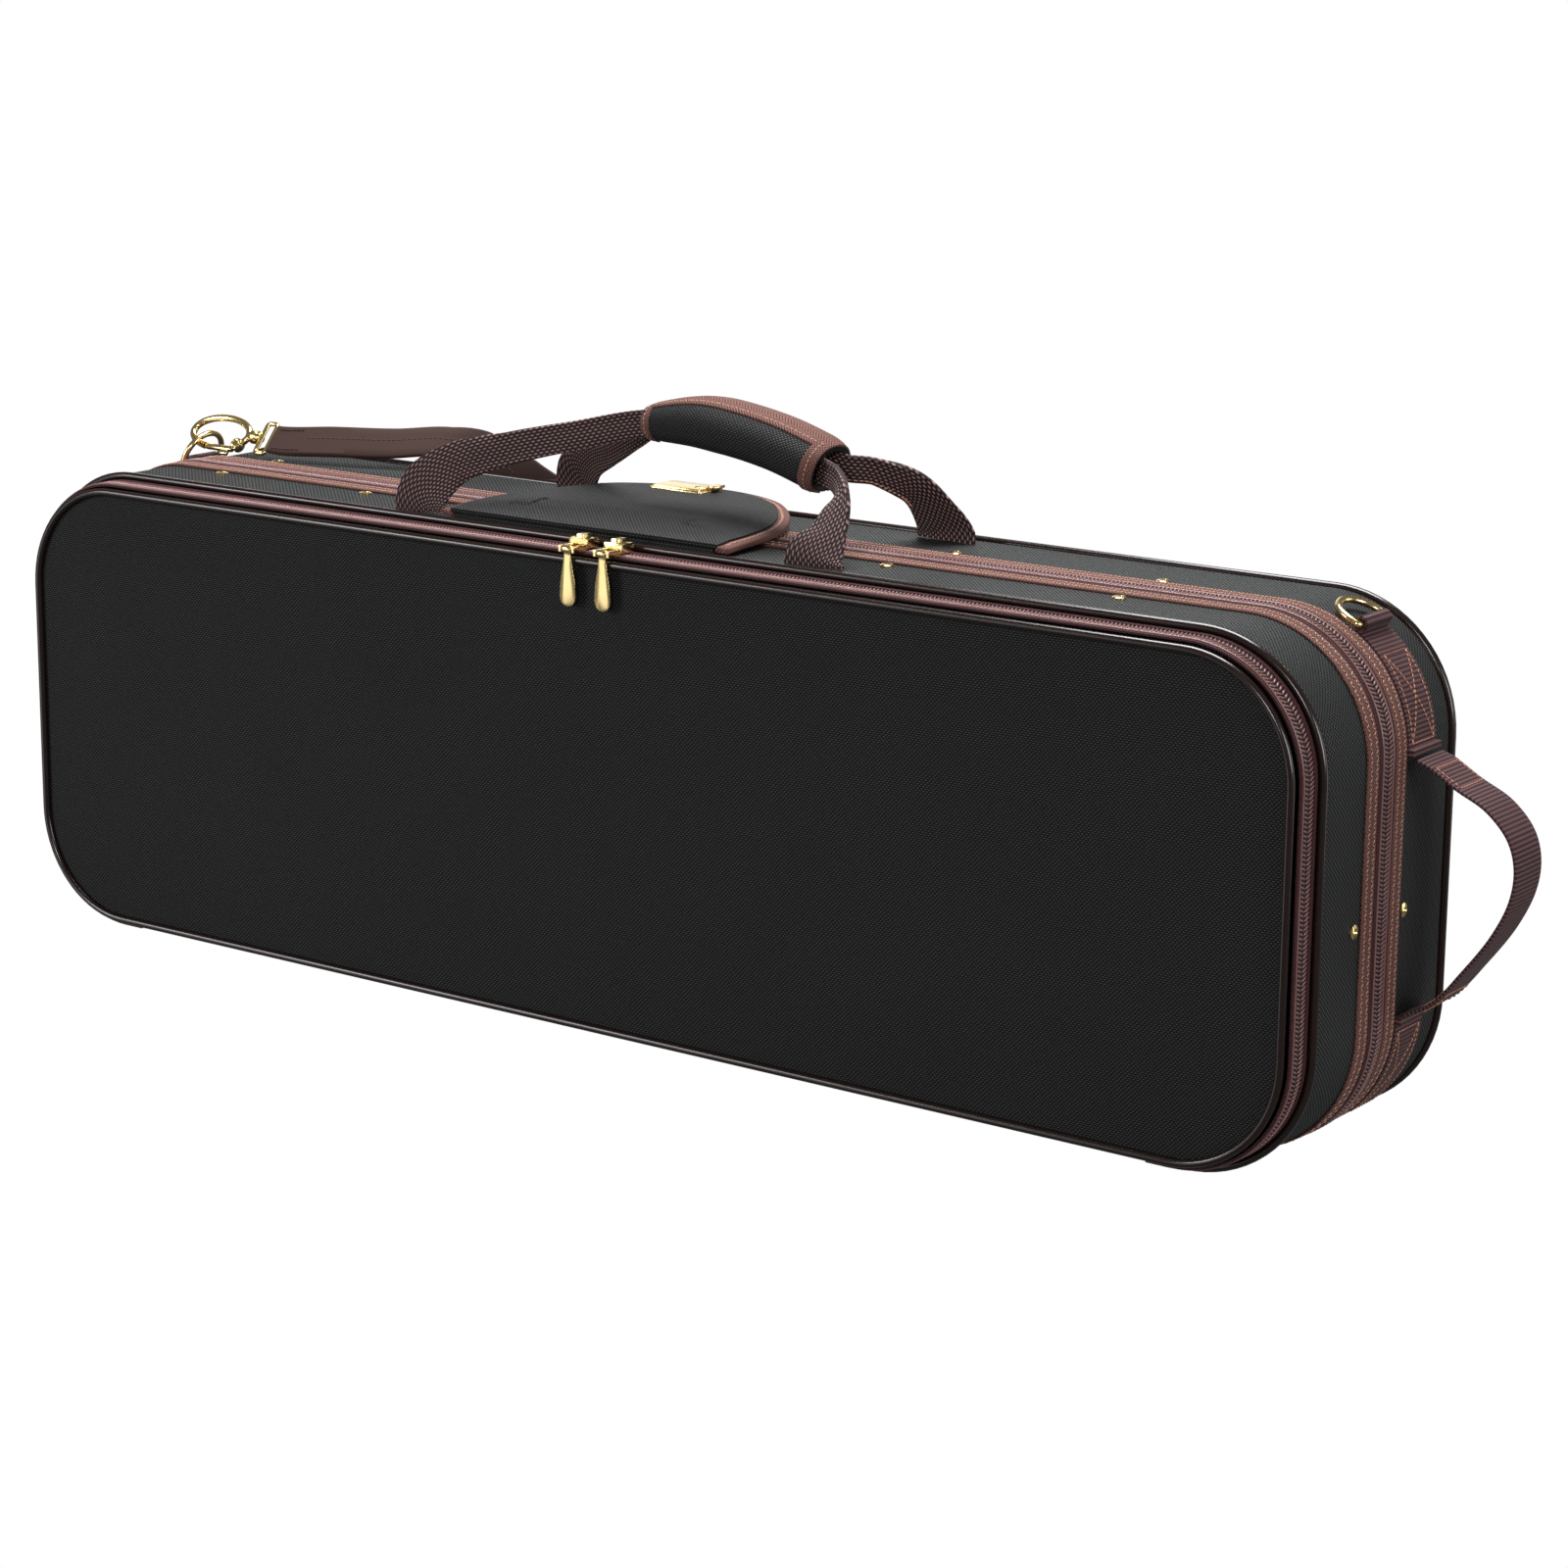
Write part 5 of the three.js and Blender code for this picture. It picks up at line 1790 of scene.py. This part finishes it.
        modify(obj, "SOLIDIFY", thickness=thick, offset=-1.0)
        return obj

    def grip(self, sign: int, side: str) -> None:
        """One half of the grip: its cloth, its binding and stitches."""
        body = f"{side}_handle"
        cloth = self.surface(sign, 0.0, 1.0, -90, 90, 0.0, (64, 22), 2.6, f"grip_{side}")
        settle(cloth, f"grip_{side}_cloth", OXFORD, body, [f"grip_{side}"], smooth=60)
        share = self.band_wide / self.spine(60).length
        low = -78 if sign < 0 else -84
        high = 116 if sign < 0 else 80
        ends = [self.surface(sign, -0.004, share, low, high, 0.9, (6, 28), 1.4, "band"),
                self.surface(sign, 1 - share * 1.1, 1.0, low, high, 0.9, (6, 28), 1.4, "band")]
        if sign < 0:
            ends.append(self.surface(sign, share * 0.8, 1 - share * 0.9, 54, 116, 0.85, (60, 8),
                                     1.35, "band"))
        bands = joined(ends)
        modify(bands, "BEVEL", width=0.45, segments=2, limit_method="ANGLE",
               angle_limit=math.radians(50))
        settle(bands, f"grip_{side}_binding", BINDING, body, smooth=50)
        self.grip_stitches(sign, side, share)

    def grip_stitches(self, sign: int, side: str, share: float) -> None:
        """Stitches along the grip's binding."""
        spine = self.spine(120)

        def at(u: float, degrees: float) -> tuple[np.ndarray, np.ndarray]:
            angle = math.radians(degrees)
            middle, up = (np.array([np.interp(u * spine.length, spine.run, v[:, k])
                                    for k in range(3)]) for v in (spine.points, spine.up))
            y, high = self.skin(u, angle, sign)
            out = np.array([0.0, sign * math.cos(angle), 0.0]) + up * math.sin(angle)
            return middle + np.array([0.0, y, 0.0]) + up * high + out * 0.9, out

        lines = [[(share * 0.55, a) for a in np.linspace(-74, 72, 60)],
                 [(1 - share * 0.6, a) for a in np.linspace(-74, 72, 60)]]
        if sign < 0:
            lines.append([(u, 64.0) for u in np.linspace(share, 1 - share, 120)])
        places = []
        for line in lines:
            spots = [at(u, a) for u, a in line]
            run = np.concatenate([[0], np.cumsum([np.linalg.norm(b[0] - a[0])
                                                  for a, b in zip(spots, spots[1:])])])
            for k in range(int(run[-1] / 2.5)):
                i = int(np.searchsorted(run, (k + 0.5) * 2.5))
                i = min(max(i, 1), len(spots) - 1)
                places.append(basis(spots[i][0], spots[i][0] - spots[i - 1][0], spots[i][1]))
        stitches(places, f"grip_{side}_stitches", STITCH_PALE, f"{side}_handle", 1.9, 0.6)


# ---- end strap and shoulder strap ---------------------------------------------------------


@dataclass
class EndStrap:
    """The webbing hand strap that stands off the right end."""

    width: float = 27.0

    def build(self) -> None:
        """Makes the strap and its stitches."""
        x0, inside = LENGTH / 2 + 5.6, MID_Z + CORNER_UP - 2.6
        line = [(x0, inside), (411, 188.4), (426, 180), (442, 172), (453.5, 160), (457.5, 147),
                (456, 132), (448, 114), (434, 94), (419, 76), (x0, 2 * MID_Z - inside)]
        stops = []
        for i, (x, z) in enumerate(line):
            before, after = line[max(i - 1, 0)], line[min(i + 1, len(line) - 1)]
            stops.append(Stop((x, STRAP_Y, z), (before[1] - after[1], 0, after[0] - before[0]),
                              self.width, 1.9))
        strap = Strap(stops, 90)
        settle(strap.band("end_strap", crown=0.2), "end_strap_webbing", END_WEBBING, "end_strap",
               ["end_strap"])
        rows = []
        for start, end in ((9.0, 24.0), (strap.length - 24.0, strap.length - 9.0)):
            for side in (-1, 1):
                for across in (-0.8, 0.8):
                    rows += strap.places(across, side * 0.3, 2.7, start, end)
                for at in (start, end):
                    rows += strap.row_across([-0.74 + 0.185 * k for k in range(9)], side * 0.3, at)
        stitches(rows, "end_strap_stitches", STITCH_ORANGE, "end_strap", 2.2, 0.55)


@dataclass
class ShoulderStrap:
    """The shoulder strap, its two hooks and its slide adjuster."""

    lean: float = 40.0
    rear_lean: float = 42.0
    hook_x: float = -356.5
    hook_z: float = 267.5

    def build(self) -> None:
        """Makes the strap, the hooks and the adjuster."""
        self.strap()
        left = Matrix.Translation((self.hook_x, STRAP_Y, self.hook_z)) @ Matrix.Rotation(
            math.radians(90 - self.lean), 4, "X")
        SnapHook("left", left).build()
        rear = Matrix.Translation(rear_point(29, REAR_OUT)) @ rear_turn(self.rear_lean)
        SnapHook("rear", rear).build()
        buckle = softened("strap_adjuster", 0.5)
        settle(buckle, "strap_adjuster_cast", GOLD, "body", ["strap_adjuster"])

    def strap(self) -> None:
        """The strap itself, folded narrow by each hook."""
        a, b = math.radians(self.lean), math.radians(self.rear_lean)
        standing = (0, -math.cos(a), math.sin(a))
        rear_face = (-math.sin(b) * math.sin(REAR_SLOPE), -math.cos(b),
                     math.sin(b) * math.cos(REAR_SLOPE))

        def top(x: float, y: float, z: float, width: float, thick: float) -> Stop:
            return Stop((x, y, z), standing, width, thick)

        def back(along: float, out: float) -> Stop:
            return Stop(rear_point(along, out), (0, -1, 0), 35, 2.4)

        stops = [top(-316.4, STRAP_Y, self.hook_z, 17, 3.4),
                 top(-306, STRAP_Y, self.hook_z, 18, 3.8),
                 top(-280, STRAP_Y + 6, 269, 19, 3.8), top(-245, STRAP_Y + 18, 270, 19, 3.4),
                 top(-215, REAR_Y - 4, 272, 19, 3.0),
                 Stop((-190, REAR_Y + 4.6, 266), (0, -1, 0.1), 23, 2.6),
                 back(530, 4), back(500, 4), back(440, 3.8), back(340, 3.6), back(220, 3.6),
                 back(130, 3), Stop(rear_point(81, REAR_OUT), rear_face, 19, 2.6),
                 Stop(rear_point(69, REAR_OUT), rear_face, 17, 2.6)]
        strap = Strap(stops, 260)
        obj = strap.band("shoulder_strap", crown=0.1)
        settle(obj, "shoulder_strap_cloth", STRAP_CLOTH, "body", ["shoulder_strap"])
        rows = []
        for start, end in ((3.0, 22.0), (strap.length - 22.0, strap.length - 3.0)):
            for side in (-1, 1):
                for across in (-0.7, 0.7):
                    rows += strap.places(across, side * 0.3, 2.6, start, end)
        for side in (-1, 1):
            rows += strap.places(-0.12, side * 0.1, 3.0, 24.0, 190.0)
        stitches(rows, "shoulder_strap_stitches", STITCH_DARK, "body", 2.6, 0.7)


# ---- inside the case ----------------------------------------------------------------------


@dataclass
class Interior:
    """The fitted plush inside: cradle, rests, box lid, lid lining and bow holders."""

    def build(self) -> None:
        """Makes every inside piece from its frame node, with rounded plush edges."""
        for node, voxel, rounds in (("cradle_foam", 2.8, 5), ("suspension_pad_upper", 1.5, 6),
                                    ("suspension_pad_lower", 1.5, 6), ("neck_rest", 1.3, 6)):
            foam = plushed(node, voxel, rounds)
            lay_box(foam)
            settle(foam, f"{node}_plush", PLUSH, "body", [node], smooth=60)
        for node, body, edge in (("accessory_lid", "accessory_lid", 1.3),
                                 ("lid_lining", "lid", 1.0), ("bow_sleeve_lower", "lid", 0.7),
                                 ("bow_sleeve_upper", "lid", 0.7),
                                 ("bow_spinner_lower", "bow_spinner_lower", 0.9),
                                 ("bow_spinner_upper", "bow_spinner_upper", 0.9)):
            obj = softened(node, edge, 3)
            lay_box(obj)
            settle(obj, f"{node}_plush", PLUSH, body, [node])
        for node, body in (("neck_strap", "neck_strap"), ("accessory_lid_tab", "accessory_lid")):
            obj = softened(node, 0.5)
            lay_box(obj)
            settle(obj, f"{node}_webbing", WEBBING, body, [node])


# ---- studio -------------------------------------------------------------------------------


@dataclass
class Studio:
    """A white surround, soft lights and the camera."""

    eye: tuple[float, float, float] = (1.1918, -1.5726, 0.6021)
    yaw: float = 0.6251
    pitch: float = 0.2391
    roll: float = 0.009
    lens: float = 89.8

    def build(self) -> None:
        """Sets the scene around the case."""
        self.world()
        self.light("sky", (0.0, 0.25, 1.4), (0.0, 0.0, 0.13), 0.8, 34.0)
        self.light("left", (-1.5, -1.6, 0.8), (-0.1, 0.0, 0.15), 0.8, 20.0)
        self.light("right", (2.0, -0.3, 0.6), (0.35, 0.0, 0.15), 0.8, 16.0)
        self.light("glint", (0.9, -2.2, 1.0), (0.0, 0.0, 0.13), 0.5, 16.0)
        self.light("front_card", (-1.35, -1.75, -0.05), (-0.05, -0.09, 0.2), 1.3, 6.5)
        self.light("back_card", (-1.3, 1.6, 0.6), (0.0, 0.0, 0.26), 1.4, 6.0)
        self.light("end_card", (1.8, 1.4, 0.2), (0.4, 0.0, 0.15), 1.1, 6.0)
        self.camera()

    def world(self) -> None:
        """A plain white surround."""
        world = bpy.data.worlds.new("white")
        world.use_nodes = True
        tree = world.node_tree
        seen = tree.nodes.new("ShaderNodeLightPath").outputs["Is Camera Ray"]
        level = tree.nodes.new("ShaderNodeMapRange")
        level.inputs["To Min"].default_value = 0.16
        level.inputs["To Max"].default_value = 1.0
        tree.links.new(seen, level.inputs["Value"])
        shade = tree.nodes["Background"]
        shade.inputs["Color"].default_value = (1.0, 1.0, 1.0, 1.0)
        tree.links.new(level.outputs["Result"], shade.inputs["Strength"])
        bpy.context.scene.world = world
        bpy.context.scene.view_settings.view_transform = "Standard"

    def light(self, name: str, at: Sequence[float], towards: Sequence[float], size: float,
              power: float) -> None:
        """One square area light."""
        deselect_all()
        turn = (Vector(towards) - Vector(at)).to_track_quat("-Z", "Y").to_euler()
        bpy.ops.object.light_add(type="AREA", location=at, rotation=turn)
        lamp = bpy.context.object
        lamp.name = name
        lamp.data.size = size
        lamp.data.energy = power

    def camera(self) -> None:
        """The camera, looking down along the case from its right front."""
        ahead = Vector((-math.sin(self.yaw) * math.cos(self.pitch),
                        math.cos(self.yaw) * math.cos(self.pitch), -math.sin(self.pitch)))
        right = Vector((math.cos(self.yaw), math.sin(self.yaw), 0))
        up = right.cross(ahead)
        c, s = math.cos(self.roll), math.sin(self.roll)
        turned = Matrix((right * c + up * s, up * c - right * s, -ahead)).transposed()
        deselect_all()
        bpy.ops.object.camera_add(location=self.eye, rotation=turned.to_euler())
        camera = bpy.context.object
        camera.data.lens = self.lens
        camera.data.sensor_width = 36.0
        bpy.context.scene.camera = camera


def main() -> None:
    """Builds the case, then its studio."""
    logging.basicConfig(level=logging.INFO, format="%(message)s")
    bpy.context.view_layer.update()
    Shell("lid", "lid", LID_FRONT, SPLIT - 0.5, -0.6, 6.0, LID_PIPE).build()
    Shell("body", "body", BODY_BACK, SPLIT + 0.5, 0.6, 7.4, BODY_PIPE).build()
    for group in (SplitSeam(), FrontPocket(), Pulls(), Flap(), CarryHandle(), StrapRings(),
                  EndStrap(), ShoulderStrap(), Rivets(), Interior(), Studio()):
        group.build()


if __name__ == "__main__":
    main()
